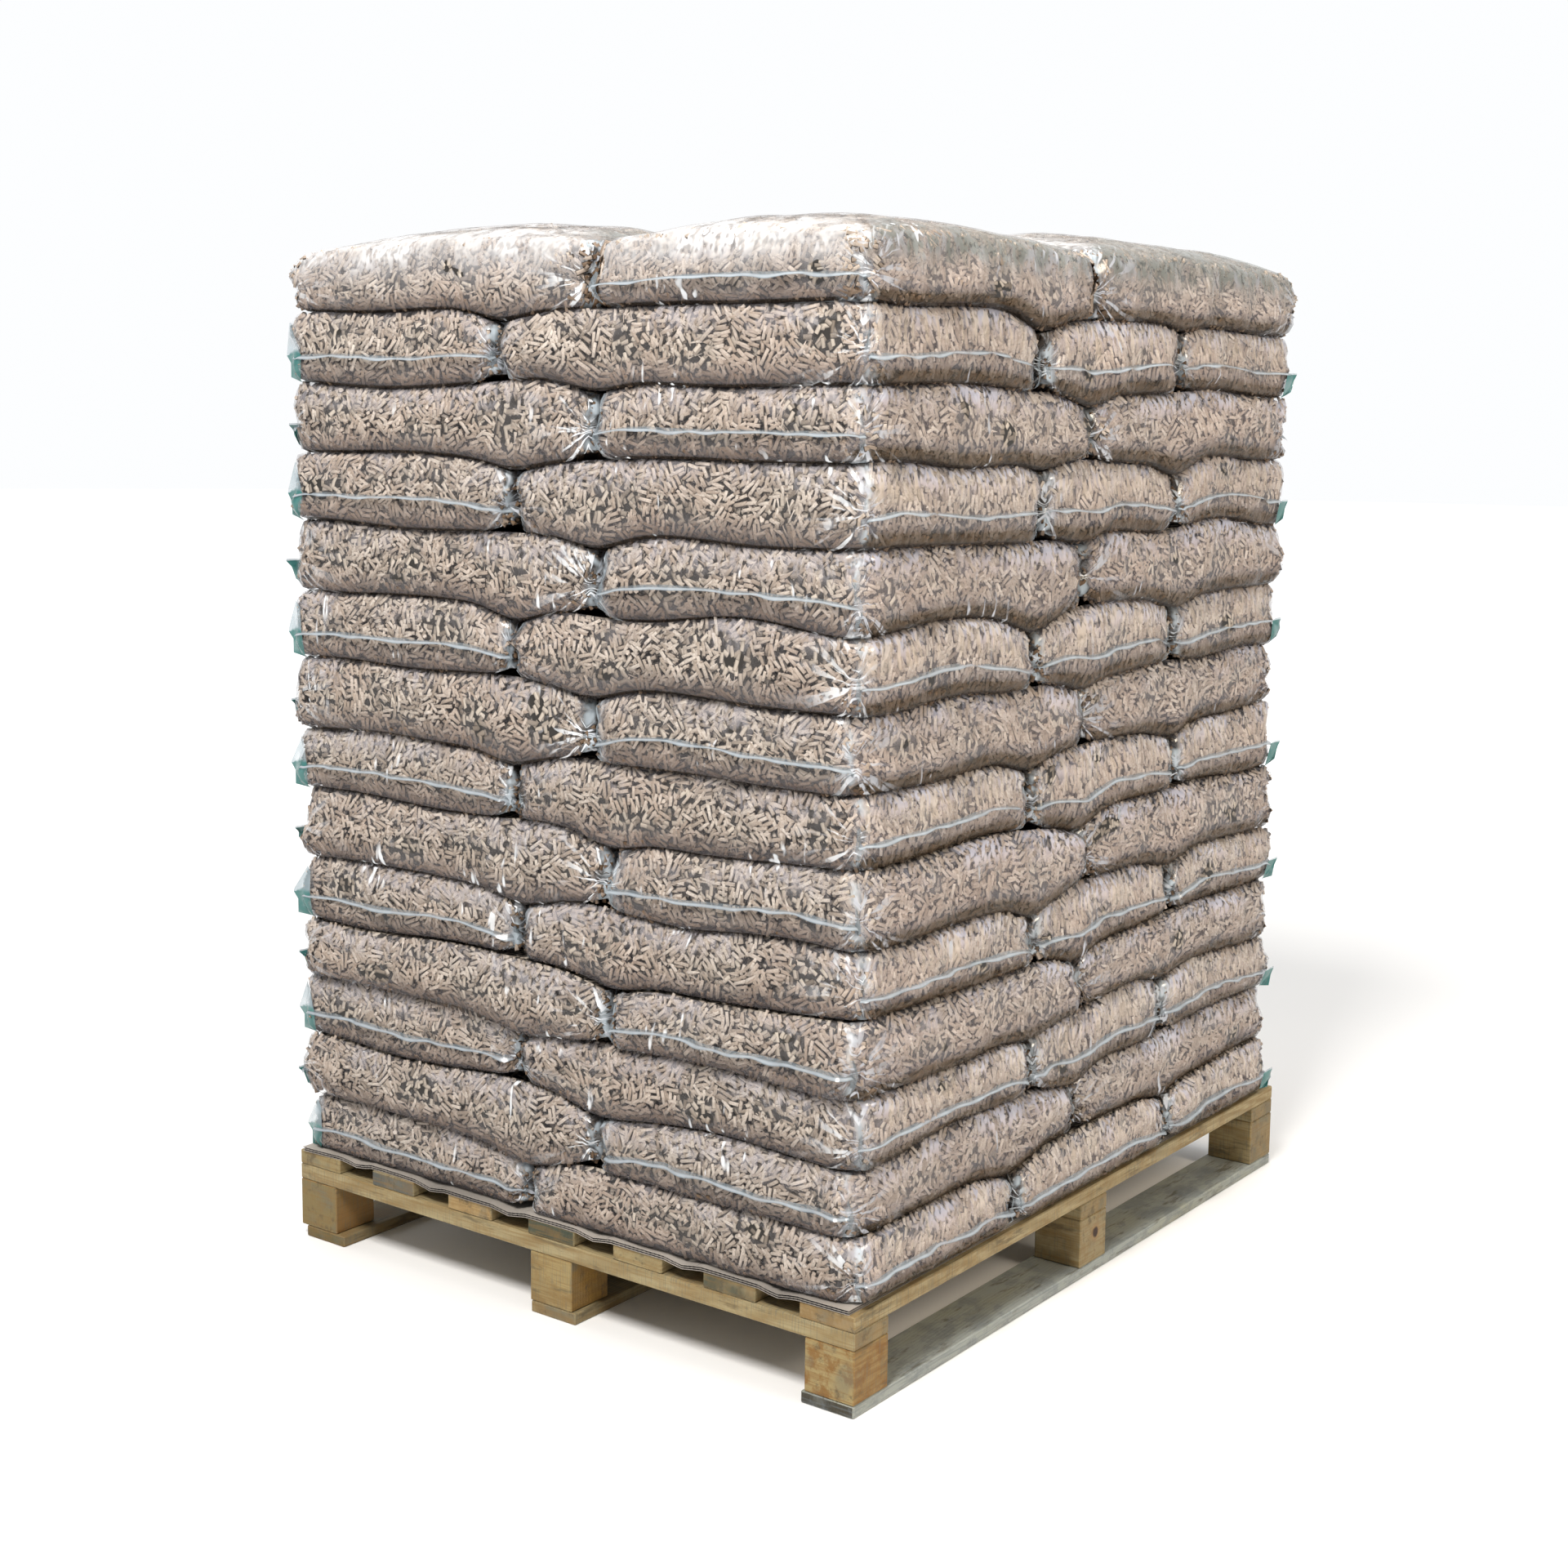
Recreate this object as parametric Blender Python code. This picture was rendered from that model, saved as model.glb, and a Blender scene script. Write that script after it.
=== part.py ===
"""A full pallet of clear film sacks: wood fuel pellets, five sacks a layer, fourteen layers.

Metres, +Z up. The origin is on the floor under the middle of the pallet. X runs along the short
side of the pallet and Y along the long side.
"""

import math

import bmesh
import bpy
from mathutils import Vector

# Pallet: a light block pallet, one way, 1000 x 1200 mm.
PALLET_X = 1.000
PALLET_Y = 1.200
BOTTOM_BOARD = (0.080, 0.016)
BLOCK = (0.075, 0.075)
BLOCK_HEIGHT = 0.071
STRINGER = (0.075, 0.023)
DECK_BOARD = (0.084, 0.021)
DECK_BOARDS = 7
BOTTOM_BOARD_X = (-0.449, 0.004, 0.460)
SAWN_EDGE = 0.0015
GAP = 0.0003

# Double wall board between the deck and the first layer.
LINER_X = 0.982
LINER_Y = 1.196
LINER_THICKNESS = 0.006
LINER_SAG = 0.007
LINER_SAG_REACH = 0.070
LINER_STRIP = 0.012
LINER_SHIFT_Y = -0.003

# Sacks of 15 kg, lying flat. Three lie one way and two the other in each layer.
STACK_X = 0.984
STACK_Y = 1.162
STACK_SHIFT_Y = -0.012
SACK_LONG_SHARE = 0.580
SACK_LAP = 0.010
EDGE_ROUND = 0.45
EDGE_SEGMENTS = 2
TOP_CROWN = 0.030
CROWN_INSET = 0.110

# Where the sacks of a layer meet, off their even places: two end to end, and three side by side.
HALVES_OFF = -0.045
THIRDS_OFF = (0.015, 0.024)

# One row for each layer, floor up, in millimetres: its thickness at the edge, how far it stands
# out of line along X and Y, and how far the line between its two lots of sacks is off its place.
LAYERS = (
    (80, 12, 0, 24),
    (87, 2, -6, -3),
    (88, 2, 4, 18),
    (88, 4, -6, 15),
    (90, 0, 8, 16),
    (97, -2, 4, 12),
    (96, -6, 8, 9),
    (96, -8, 2, -6),
    (98, -6, 2, 18),
    (98, -4, 0, -1),
    (98, -2, -2, 14),
    (96, 2, -4, -7),
    (94, 4, -8, -12),
    (98, 6, -8, -10),
)
MM = 0.001


def clear_scene():
    """Removes every object that the scene starts with."""
    for obj in list(bpy.data.objects):
        bpy.data.objects.remove(obj)


def material(name, colour, roughness):
    """A Principled material of one colour."""
    made = bpy.data.materials.new(name)
    made.use_nodes = True
    shader = made.node_tree.nodes["Principled BSDF"]
    shader.inputs["Base Color"].default_value = (*colour, 1.0)
    shader.inputs["Roughness"].default_value = roughness
    shader.inputs["Metallic"].default_value = 0.0
    return made


def add_object(name, mesh_builder, finish, collection):
    """Makes a mesh object from a bmesh, with its material, in the collection."""
    mesh = bpy.data.meshes.new(name)
    mesh_builder.to_mesh(mesh)
    mesh_builder.free()
    mesh.materials.append(finish)
    obj = bpy.data.objects.new(name, mesh)
    collection.objects.link(obj)
    return obj


def block_of(size, edge, segments):
    """A box of this size centred on the origin, with its edges rounded."""
    made = bmesh.new()
    bmesh.ops.create_cube(made, size=1.0)
    bmesh.ops.scale(made, vec=Vector(size), verts=made.verts)
    bmesh.ops.bevel(
        made,
        geom=list(made.edges),
        offset=edge,
        segments=segments,
        profile=0.5,
        affect="EDGES",
        material=-1,
        clamp_overlap=True,
    )
    return made


def timber(name, size, centre, finish, collection):
    """A sawn board or block, standing with its middle at centre."""
    made = block_of(size, SAWN_EDGE, 1)
    obj = add_object(name, made, finish, collection)
    obj.location = centre
    return obj


def spread(count, width, board):
    """Centres of boards laid evenly across a width, the outer ones flush with its ends."""
    pitch = (width - board) / (count - 1)
    return [-width / 2 + board / 2 + i * pitch for i in range(count)]


def build_pallet(collection, wood):
    """Bottom boards, blocks, stringers and deck boards. Returns the height of the deck."""
    columns = spread(3, PALLET_X, BLOCK[0])
    rows = spread(3, PALLET_Y, BLOCK[1])
    sides = ("left", "middle", "right")
    depths = ("front", "middle", "back")

    foot = BOTTOM_BOARD[1]
    for side, x in zip(sides, BOTTOM_BOARD_X):
        size = (BOTTOM_BOARD[0], PALLET_Y, foot)
        timber(f"bottom_board_{side}", size, (x, 0, foot / 2), wood, collection)

    block_foot = foot + GAP
    for side, x in zip(sides, columns):
        for depth, y in zip(depths, rows):
            size = (*BLOCK, BLOCK_HEIGHT - 2 * GAP)
            centre = (x, y, block_foot + size[2] / 2)
            timber(f"block_{depth}_{side}", size, centre, wood, collection)

    stringer_foot = foot + BLOCK_HEIGHT
    for depth, y in zip(depths, rows):
        size = (PALLET_X, STRINGER[0], STRINGER[1] - GAP)
        centre = (0, y, stringer_foot + size[2] / 2)
        timber(f"stringer_{depth}", size, centre, wood, collection)

    deck_foot = stringer_foot + STRINGER[1]
    for number, x in enumerate(spread(DECK_BOARDS, PALLET_X, DECK_BOARD[0]), 1):
        size = (DECK_BOARD[0], PALLET_Y, DECK_BOARD[1])
        centre = (x, 0, deck_foot + size[2] / 2)
        timber(f"deck_board_{number}", size, centre, wood, collection)
    return deck_foot + DECK_BOARD[1]


def liner_sag(x, y):
    """How far the liner dips at a point: between two boards, near its front and back edges."""
    pitch = (PALLET_X - DECK_BOARD[0]) / (DECK_BOARDS - 1)
    from_board = abs((x + PALLET_X / 2 - DECK_BOARD[0] / 2 + pitch / 2) % pitch - pitch / 2)
    clear_of_board = DECK_BOARD[0] / 2 + LINER_STRIP / 4
    if from_board <= clear_of_board:
        return 0.0
    across = (from_board - clear_of_board) / (pitch / 2 - clear_of_board)
    from_end = LINER_Y / 2 - abs(y - LINER_SHIFT_Y)
    along = max(0.0, 1.0 - from_end / LINER_SAG_REACH)
    return LINER_SAG * math.sin(across * math.pi / 2) * along


def liner_columns():
    """Where the liner's mesh is cut along X: at the boards' edges and between them."""
    pitch = (PALLET_X - DECK_BOARD[0]) / (DECK_BOARDS - 1)
    edge = LINER_X / 2
    columns = {-edge, edge}
    for x in spread(DECK_BOARDS, PALLET_X, DECK_BOARD[0]):
        for step in (-1, 1):
            side = x + step * (DECK_BOARD[0] / 2 + LINER_STRIP / 4)
            columns.update((side, x + step * pitch / 2, (side + x + step * pitch / 2) / 2))
    return sorted(c for c in {round(c, 5) for c in columns} if abs(c) <= edge)


def build_liner(collection, board, foot):
    """The corrugated liner, a sheet that sags a little between the deck boards at its ends."""
    made = bmesh.new()
    bmesh.ops.create_cube(made, size=1.0)
    bmesh.ops.scale(made, vec=Vector((LINER_X, LINER_Y, LINER_THICKNESS)), verts=made.verts)
    for x in liner_columns()[1:-1]:
        geometry = list(made.verts) + list(made.edges) + list(made.faces)
        bmesh.ops.bisect_plane(made, geom=geometry, plane_co=(x, 0, 0), plane_no=(1, 0, 0))
    reach = LINER_Y / 2 - LINER_SAG_REACH
    for y in (-reach, reach):
        geometry = list(made.verts) + list(made.edges) + list(made.faces)
        bmesh.ops.bisect_plane(made, geom=geometry, plane_co=(0, y, 0), plane_no=(0, 1, 0))
    middle = foot + GAP + LINER_THICKNESS / 2
    bmesh.ops.translate(made, vec=(0, LINER_SHIFT_Y, middle), verts=made.verts)
    for vert in made.verts:
        vert.co.z -= liner_sag(vert.co.x, vert.co.y)
    add_object("cardboard_liner", made, board, collection)
    return foot + GAP + LINER_THICKNESS


def sack_cells(layer, split_off):
    """(low x, high x, low y, high y) of the five sacks of a layer, before it is shifted.

    Even layers, counted from zero, have three sacks lying along X on the right and two along Y on
    the left. Odd layers are the same turned half round, so that the joints are bridged.
    """
    half_x = STACK_X / 2
    half_y = STACK_Y / 2
    reach = STACK_X * SACK_LONG_SHARE
    if layer % 2 == 0:
        split = half_x - reach + split_off
        three, two = (split, half_x), (-half_x, split)
    else:
        split = reach - half_x + split_off
        three, two = (-half_x, split), (split, half_x)
    thirds = (-half_y, THIRDS_OFF[0] - half_y / 3, THIRDS_OFF[1] + half_y / 3, half_y)
    halves = (-half_y, HALVES_OFF, half_y)
    cells = [(*three, low, high) for low, high in zip(thirds, thirds[1:])]
    cells += [(*two, low, high) for low, high in zip(halves, halves[1:])]
    return cells


def sack(centre, size, crown):
    """One filled sack as a bmesh: a box with deep round edges and, on top, a low crown."""
    edge = EDGE_ROUND * size[2]
    made = block_of(size, edge, EDGE_SEGMENTS)
    if crown:
        top = [face for face in made.faces if face.normal.z > 0.999]
        bmesh.ops.inset_region(made, faces=top, thickness=CROWN_INSET, depth=0.0)
        bmesh.ops.poke(made, faces=top)
        for vert in made.verts:
            if vert.co.z < size[2] / 2 - GAP:
                continue
            across = abs(vert.co.x) / (size[0] / 2 - edge)
            along = abs(vert.co.y) / (size[1] / 2 - edge)
            vert.co.z += crown * math.cos(min(max(across, along), 1.0) * math.pi / 2)
    bmesh.ops.translate(made, vec=centre, verts=made.verts)
    return made


def build_layer(number, foot, sacks, cutters, film):
    """A layer as one solid: five sacks that press together, with grooves where they meet."""
    thickness, shift_x, shift_y, split_off = (value * MM for value in LAYERS[number])
    is_top = number == len(LAYERS) - 1
    pieces = []
    for i, (low_x, high_x, low_y, high_y) in enumerate(sack_cells(number, split_off)):
        size = (high_x - low_x + SACK_LAP, high_y - low_y + SACK_LAP, thickness - GAP)
        x = (low_x + high_x) / 2 + shift_x
        y = (low_y + high_y) / 2 + shift_y + STACK_SHIFT_Y
        centre = (x, y, foot + GAP + size[2] / 2)
        made = sack(centre, size, TOP_CROWN if is_top else 0.0)
        home = sacks if i == 0 else cutters
        name = f"sack_layer_{number + 1:02d}" if i == 0 else f"sack_{number + 1:02d}_{i}"
        pieces.append(add_object(name, made, film, home))
    for piece in pieces[1:]:
        join = pieces[0].modifiers.new("press together", "BOOLEAN")
        join.operation = "UNION"
        join.object = piece
        piece.hide_render = True
        piece.display_type = "WIRE"
    return foot + thickness


def main():
    """Builds the pallet, its liner and the layers of sacks."""
    clear_scene()
    pallet = bpy.data.collections.new("pallet_of_sacks")
    cutters = bpy.data.collections.new("sacks_to_join")
    bpy.context.scene.collection.children.link(pallet)
    bpy.context.scene.collection.children.link(cutters)
    wood = material("sawn_pine", (0.62, 0.50, 0.29), 0.75)
    board = material("brown_board", (0.42, 0.35, 0.30), 0.85)
    film = material("film_and_pellets", (0.55, 0.44, 0.32), 0.35)
    height = build_pallet(pallet, wood)
    height = build_liner(pallet, board, height)
    for number in range(len(LAYERS)):
        height = build_layer(number, height, pallet, cutters, film)


main()
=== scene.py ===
"""Dresses the pallet of sacks: clear film sacks of wood pellets on a board liner and a pine pallet.

Each layer's plain solid is replaced by three pieces: a bed that fills each sack, the pellets that
lie against its film, and the film with its creases. The seams stand on the film as thin fins.
Lengths are in metres. X is the pallet's short side, Y its long side, and its front faces -Y.
"""

from __future__ import annotations

import logging
import math
from dataclasses import dataclass, field
from enum import Enum

import bmesh
import bpy
import numpy as np
from mathutils import Matrix, Vector


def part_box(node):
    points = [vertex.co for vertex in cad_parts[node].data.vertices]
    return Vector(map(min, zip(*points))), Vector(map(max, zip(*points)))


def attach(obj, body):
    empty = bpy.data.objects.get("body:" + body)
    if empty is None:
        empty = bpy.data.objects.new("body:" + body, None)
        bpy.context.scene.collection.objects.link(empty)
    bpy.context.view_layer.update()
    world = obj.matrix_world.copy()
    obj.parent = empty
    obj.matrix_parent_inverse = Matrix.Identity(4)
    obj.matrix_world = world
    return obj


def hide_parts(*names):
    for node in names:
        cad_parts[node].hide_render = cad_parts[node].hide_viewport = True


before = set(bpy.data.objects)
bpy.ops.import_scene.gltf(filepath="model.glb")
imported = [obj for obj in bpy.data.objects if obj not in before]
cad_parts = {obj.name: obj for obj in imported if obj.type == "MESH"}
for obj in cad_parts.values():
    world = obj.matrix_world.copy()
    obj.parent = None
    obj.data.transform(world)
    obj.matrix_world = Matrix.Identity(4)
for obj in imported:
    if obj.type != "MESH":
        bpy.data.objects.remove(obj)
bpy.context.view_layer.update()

log = logging.getLogger("pallet_of_sacks")

MM = 0.001
LAYERS = 14
BODY = "root"
# Painted shade: the colour that a sack's filling is multiplied by towards its lower edge.
PAINTED_UNDER_SHADE = (0.30, 0.22, 0.15)


class Lie(Enum):
    """Which way a sack's long side runs."""

    ALONG_X = "x"
    ALONG_Y = "y"


class Side(Enum):
    """A sack's four sides, in the order that a walk round it meets them."""

    HEAD = 0
    LEFT = 1
    FOOT = 2
    RIGHT = 3


@dataclass(frozen=True)
class Noise:
    """Smooth seeded noise, made of a few sine waves."""

    seed: int
    wavelength: float
    waves: int = 7

    def at(self, *axes: np.ndarray) -> np.ndarray:
        """Noise between about -1 and 1.

        Args:
            axes: one array for each coordinate, all of one shape.

        Returns:
            An array of the same shape.
        """
        draw = np.random.default_rng(self.seed)
        total = np.zeros_like(np.asarray(axes[0], dtype=float))
        for _ in range(self.waves):
            way = draw.normal(size=len(axes))
            way *= draw.uniform(0.7, 1.6) / np.linalg.norm(way)
            phase = draw.uniform(0, 2 * math.pi)
            run = sum(part * axis for part, axis in zip(way, axes))
            total = total + np.sin(2 * math.pi * run / self.wavelength + phase)
        return total / math.sqrt(self.waves)


@dataclass(frozen=True)
class Profile:
    """The rounded side of a sack, from its lower face round to its upper face.

    A place on it is `turn`, -1 at the lower edge, 0 at mid height, 1 at the upper edge. Equal
    steps of turn are equal lengths of film. Past 1 it runs on inwards over the upper face.
    """

    depth: float = 0.0135
    half_height: float = 0.047
    power: float = 2.80
    samples: int = 201

    def table(self) -> tuple[np.ndarray, np.ndarray, np.ndarray, float]:
        """Turn, height from -1 to 1, inset, and half the side's length."""
        angle = np.linspace(-math.pi / 2, math.pi / 2, self.samples)
        height = np.sign(angle) * np.abs(np.sin(angle)) ** (2 / self.power)
        inset = self.depth * (1 - np.abs(np.cos(angle)) ** (2 / self.power))
        step = np.hypot(np.diff(height) * self.half_height, np.diff(inset))
        run = np.concatenate(([0], np.cumsum(step)))
        half = run[-1] / 2
        return run / half - 1, height, inset, half

    def at(self, turn: np.ndarray) -> tuple[np.ndarray, np.ndarray]:
        """Height from -1 to 1 and inset at each turn.

        Args:
            turn: places on the profile.

        Returns:
            The two arrays.
        """
        turns, heights, insets, half = self.table()
        inside = np.clip(turn, -1, 1)
        height = np.interp(inside, turns, heights)
        inset = np.interp(inside, turns, insets)
        return height, inset + np.abs(turn - inside) * half

    def half_length(self) -> float:
        """Half the length of film round the side."""
        return self.table()[3]


@dataclass(frozen=True)
class Split:
    """A line where two sacks of a layer meet, which the layer above sags into."""

    axis: int
    place: float
    low: float
    high: float
    dip: float
    width: float = 0.058
    fade: float = 0.050

    def sag(self, x: np.ndarray, y: np.ndarray) -> np.ndarray:
        """How far the layer above dips into the line at each point."""
        across = (x, y)[self.axis] - self.place
        along = (y, x)[self.axis]
        inside = np.clip((along - self.low) / self.fade + 1, 0, 1)
        inside = inside * np.clip((self.high - along) / self.fade + 1, 0, 1)
        return self.dip * np.exp(-((across / self.width) ** 2)) * inside


@dataclass
class Sack:
    """One sack: a pillow of film in its cell of the layer.

    A place on it is `walk`, the distance round its side at mid height, and `turn`, the place on
    its profile. The walk starts at the corner before its head and goes anticlockwise.
    """

    stack: Stack
    layer: int
    number: int
    centre: tuple[float, float]
    half_length: float
    half_width: float
    lie: Lie
    bare: list[Side]
    profile: Profile = field(default_factory=Profile)
    corner: float = 0.013
    slack_corner: float = 0.032
    full_corner: float = 0.009
    near_corner: float = 0.034
    side_corner: float = 0.017
    corner_pinch: float = 0.003
    bulge: float = 0.0034
    belly: float = 0.002
    pull: float = 0.013
    fold: float = 0.0022
    bed_gap: float = 0.0004
    joint_reach: float = 0.011
    taper: float = 0.24
    taper_reach: float = 0.026

    @property
    def round_trip(self) -> float:
        """The distance round the sack."""
        return 4 * (self.half_length + self.half_width)

    @property
    def seed(self) -> int:
        """A number of its own for the sack's noise."""
        return 31 * self.layer + self.number

    def corners(self) -> list[float]:
        """The walk at the start of each side, HEAD, LEFT, FOOT and RIGHT."""
        head = 2 * self.half_width
        side = 2 * self.half_length
        return [0.0, head, head + side, 2 * head + side]

    def length_of(self, side: Side) -> float:
        """How long a side is."""
        return 2 * (self.half_width if side.value % 2 == 0 else self.half_length)

    def on_square(self, walk: np.ndarray) -> tuple[np.ndarray, np.ndarray]:
        """The walk as a point on the edge of a square from -1 to 1."""
        a, b = self.half_length, self.half_width
        walk = np.mod(walk, self.round_trip)
        starts = self.corners()
        x = np.interp(walk, [*starts, self.round_trip], [1, 1, -1, -1, 1])
        y = np.interp(walk, [*starts, self.round_trip], [-1, 1, 1, -1, -1])
        return x * a, y * b

    def plan(self, walk: np.ndarray, inset: np.ndarray, height: np.ndarray) -> tuple:
        """The plan of the sack at an inset: a rectangle with round corners.

        Args:
            walk: the distance round the sack.
            inset: how far in from its outline.
            height: from -1 to 1; the corners are rounder away from mid height.

        Returns:
            The two coordinates along and across the sack.
        """
        x, y = self.on_square(walk)
        a = self.half_length - inset
        b = self.half_width - inset
        x = x * a / self.half_length
        y = y * b / self.half_width
        room = np.minimum(a, b) - 0.001
        outer = self.at_outer_corner(x, y)
        radius = np.where(outer, self.outer_radius(), self.inner_radius(x))
        radius = np.minimum(radius + self.corner_pinch * height**2, room)
        inner_x = np.clip(x, -(a - radius), a - radius)
        inner_y = np.clip(y, -(b - radius), b - radius)
        away = np.hypot(x - inner_x, y - inner_y)
        x = inner_x + radius * (x - inner_x) / away
        y = inner_y + radius * (y - inner_y) / away
        return x, y

    def at_outer_corner(self, x: np.ndarray, y: np.ndarray) -> np.ndarray:
        """Whether points along and across the sack are nearest a corner of the whole stack."""
        if len(self.bare) < 2:
            return np.zeros(np.shape(x), dtype=bool)
        end = 1 if Side.HEAD in self.bare else -1
        side = 1 if Side.LEFT in self.bare else -1
        return (x * end > 0) & (y * side > 0)

    def inner_radius(self, x: np.ndarray) -> np.ndarray:
        """How round the sack is where it meets others: a far sack is rounder at its near end."""
        if self.lie is Lie.ALONG_X:
            return np.full(np.shape(x), self.corner)
        if self.number == 4:
            return np.where(x < 0, self.slack_corner, self.corner)
        return np.where(x > 0, self.full_corner, self.corner)

    def outer_radius(self) -> float:
        """How round the sack is at its corner of the stack: rounder at the front right and back left."""
        front, right = self.centre[1] < 0, self.centre[0] > 0
        return self.near_corner if front == right else self.side_corner

    def to_stack(self, x: np.ndarray, y: np.ndarray) -> tuple[np.ndarray, np.ndarray]:
        """Coordinates along and across the sack, as X and Y of the stack."""
        if self.lie is Lie.ALONG_X:
            return self.centre[0] + x, self.centre[1] + y
        return self.centre[0] - y, self.centre[1] + x

    def gather(self, walk: np.ndarray, turn: np.ndarray) -> tuple:
        """How the film gathers at the ends of its seams.

        Args:
            walk: the distance round the sack.
            turn: the place on the profile.

        Returns:
            Strength from 0 to 1, the angle of the creases, and the distance from the seam's end.
        """
        half = self.profile.half_length()
        strengths = self.corner_strengths()
        strength = np.zeros(np.shape(walk))
        best = np.full(np.shape(walk), 1e3)
        angle = np.zeros(np.shape(walk))
        for i, start in enumerate(self.corners()):
            off = np.mod(walk - start + self.round_trip / 2, self.round_trip) - self.round_trip / 2
            up = (turn + 0.15) * half
            on_end = (off > 0) == (i % 2 == 0)
            reach = np.hypot(off * np.where(on_end, 2.4, 1.0), up * 1.2)
            nearer = reach < best
            best = np.where(nearer, reach, best)
            strength = np.where(nearer, strengths[i], strength)
            angle = np.where(nearer, np.arctan2(up, np.abs(off) + 0.004), angle)
        return strength * np.exp(-((best / 0.072) ** 2)), angle, best

    def corner_strengths(self) -> tuple[float, float, float, float]:
        """How much the film gathers at each corner, in the order of corners()."""
        three_right = self.layer % 2 == 0
        if self.lie is Lie.ALONG_X:
            return (0.8, 0.7, 0.3, 0.3) if three_right else (1.0, 1.0, 0.5, 0.5)
        if self.number == 4:
            return (0.6, 0.6, 1.0, 1.0)
        return (0.3, 0.3, 0.4, 1.0) if three_right else (0.25, 0.25, 0.35, 0.8)

    def hem(self, walk: np.ndarray) -> np.ndarray:
        """How close a point is to an upright edge of a seamed end, from 0 to 1."""
        best = np.zeros(np.shape(walk))
        for i, start in enumerate(self.corners()):
            off = np.mod(walk - start + self.round_trip / 2, self.round_trip) - self.round_trip / 2
            inwards = off if i % 2 == 0 else -off
            best = np.maximum(best, np.exp(-(((inwards - 0.006) / 0.013) ** 2)))
        return best

    def joint(self, walk: np.ndarray, reach: float) -> tuple[np.ndarray, np.ndarray]:
        """How close a point is to where the sack meets its neighbour in a face of the stack.

        Args:
            walk: the distance round the sack.
            reach: how far from the neighbour it fades.

        Returns:
            How close from 0 to 1, and the same times how slack the film is there.
        """
        close = np.zeros(np.shape(walk))
        slack = np.zeros(np.shape(walk))
        starts = np.array(self.corners())
        half_trip = self.round_trip / 2
        for place, inwards in zip(self.bare_walk(0.0), (1, -1)):
            corner = int(np.argmin(np.abs(starts - place % self.round_trip)))
            off = inwards * (np.mod(walk - place + half_trip, self.round_trip) - half_trip)
            near = np.exp(-((np.clip(off, 0, None) / reach) ** 2)) * (off > -0.06)
            close = np.maximum(close, near)
            slack = np.maximum(slack, near * (self.corner_strengths()[corner] > 0.75))
        return close, slack

    def pleat(self, walk: np.ndarray) -> np.ndarray:
        """1 on the sack's two seamed ends and 0 on its long sides."""
        starts = self.corners()
        walk = np.mod(walk, self.round_trip)
        on_head = walk < starts[1]
        return (on_head | ((walk > starts[2]) & (walk < starts[3]))).astype(float)

    def surface(self, walk: np.ndarray, turn: np.ndarray, sink: float = 0.0) -> np.ndarray:
        """Points on the sack's surface.

        Args:
            walk: the distance round the sack.
            turn: the place on the profile.
            sink: how far under the film the points lie.

        Returns:
            An array of points, the last axis X, Y and Z.
        """
        height, inset = self.profile.at(turn)
        round_part = np.clip(1 - np.abs(turn), 0, 1)
        lumps = Noise(self.seed, 0.17).at(walk, turn * 0.07)
        lumps = lumps + 0.5 * Noise(self.seed + 500, 0.07).at(walk, turn * 0.07)
        swell = self.bulge * lumps + self.belly * (-height)
        inset = inset - swell * np.minimum(1, 2 * round_part) + sink
        gather, angle, _ = self.gather(walk, turn)
        inset = inset + gather * (self.pull * gather + self.fold * np.sin(13 * angle + self.seed))
        x, y = self.plan(walk, inset, height)
        across, along = self.to_stack(x, y)
        low, high = self.stack.levels(self.layer, across, along)
        if self.layer == LAYERS - 1:
            high = high + self.stack.crown(self, x, y)
        under = np.minimum(sink, self.bed_gap)
        over = sink if self.layer == LAYERS - 1 else under
        thick = np.maximum(high - low - over - under, 0.004)
        _, slack = self.joint(walk, self.taper_reach)
        slack = slack * np.clip(1.4 - turn, 0, 1) * (self.layer < LAYERS - 1)
        z = low + under + (height * (1 - self.taper * slack) + 1) / 2 * thick
        return np.stack([across, along, z], axis=-1)

    def normal(self, walk: np.ndarray, turn: np.ndarray) -> np.ndarray:
        """Outward normals at points on the surface."""
        step = 0.004
        here = self.surface(walk - step, turn)
        there = self.surface(walk + step, turn)
        low = self.surface(walk, turn - step / 0.05)
        high = self.surface(walk, turn + step / 0.05)
        out = np.cross(there - here, high - low)
        return out / np.maximum(np.linalg.norm(out, axis=-1, keepdims=True), 1e-9)

    def forward(self, walk: np.ndarray, turn: np.ndarray) -> np.ndarray:
        """Unit vectors along the walk at points on the surface."""
        step = self.surface(walk + 0.004, turn) - self.surface(walk - 0.004, turn)
        return step / np.maximum(np.linalg.norm(step, axis=-1, keepdims=True), 1e-9)

    def bare_walk(self, lap: float) -> tuple[float, float]:
        """The stretch of the walk that shows on the outside of the stack.

        Args:
            lap: how far it runs on into the grooves.

        Returns:
            The start and the end of the walk; the end may be past a full trip.
        """
        values = sorted(side.value for side in self.bare)
        if values == [0, 3]:
            values = [3, 0]
        starts = self.corners()
        start = starts[values[0]]
        length = sum(self.length_of(Side(value)) for value in values)
        return start - lap, start + length + lap

    def hidden_walk(self) -> float:
        """The middle of the stretch of the walk that doesn't show."""
        start, end = self.bare_walk(0.0)
        return end + (self.round_trip - (end - start)) / 2


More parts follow.
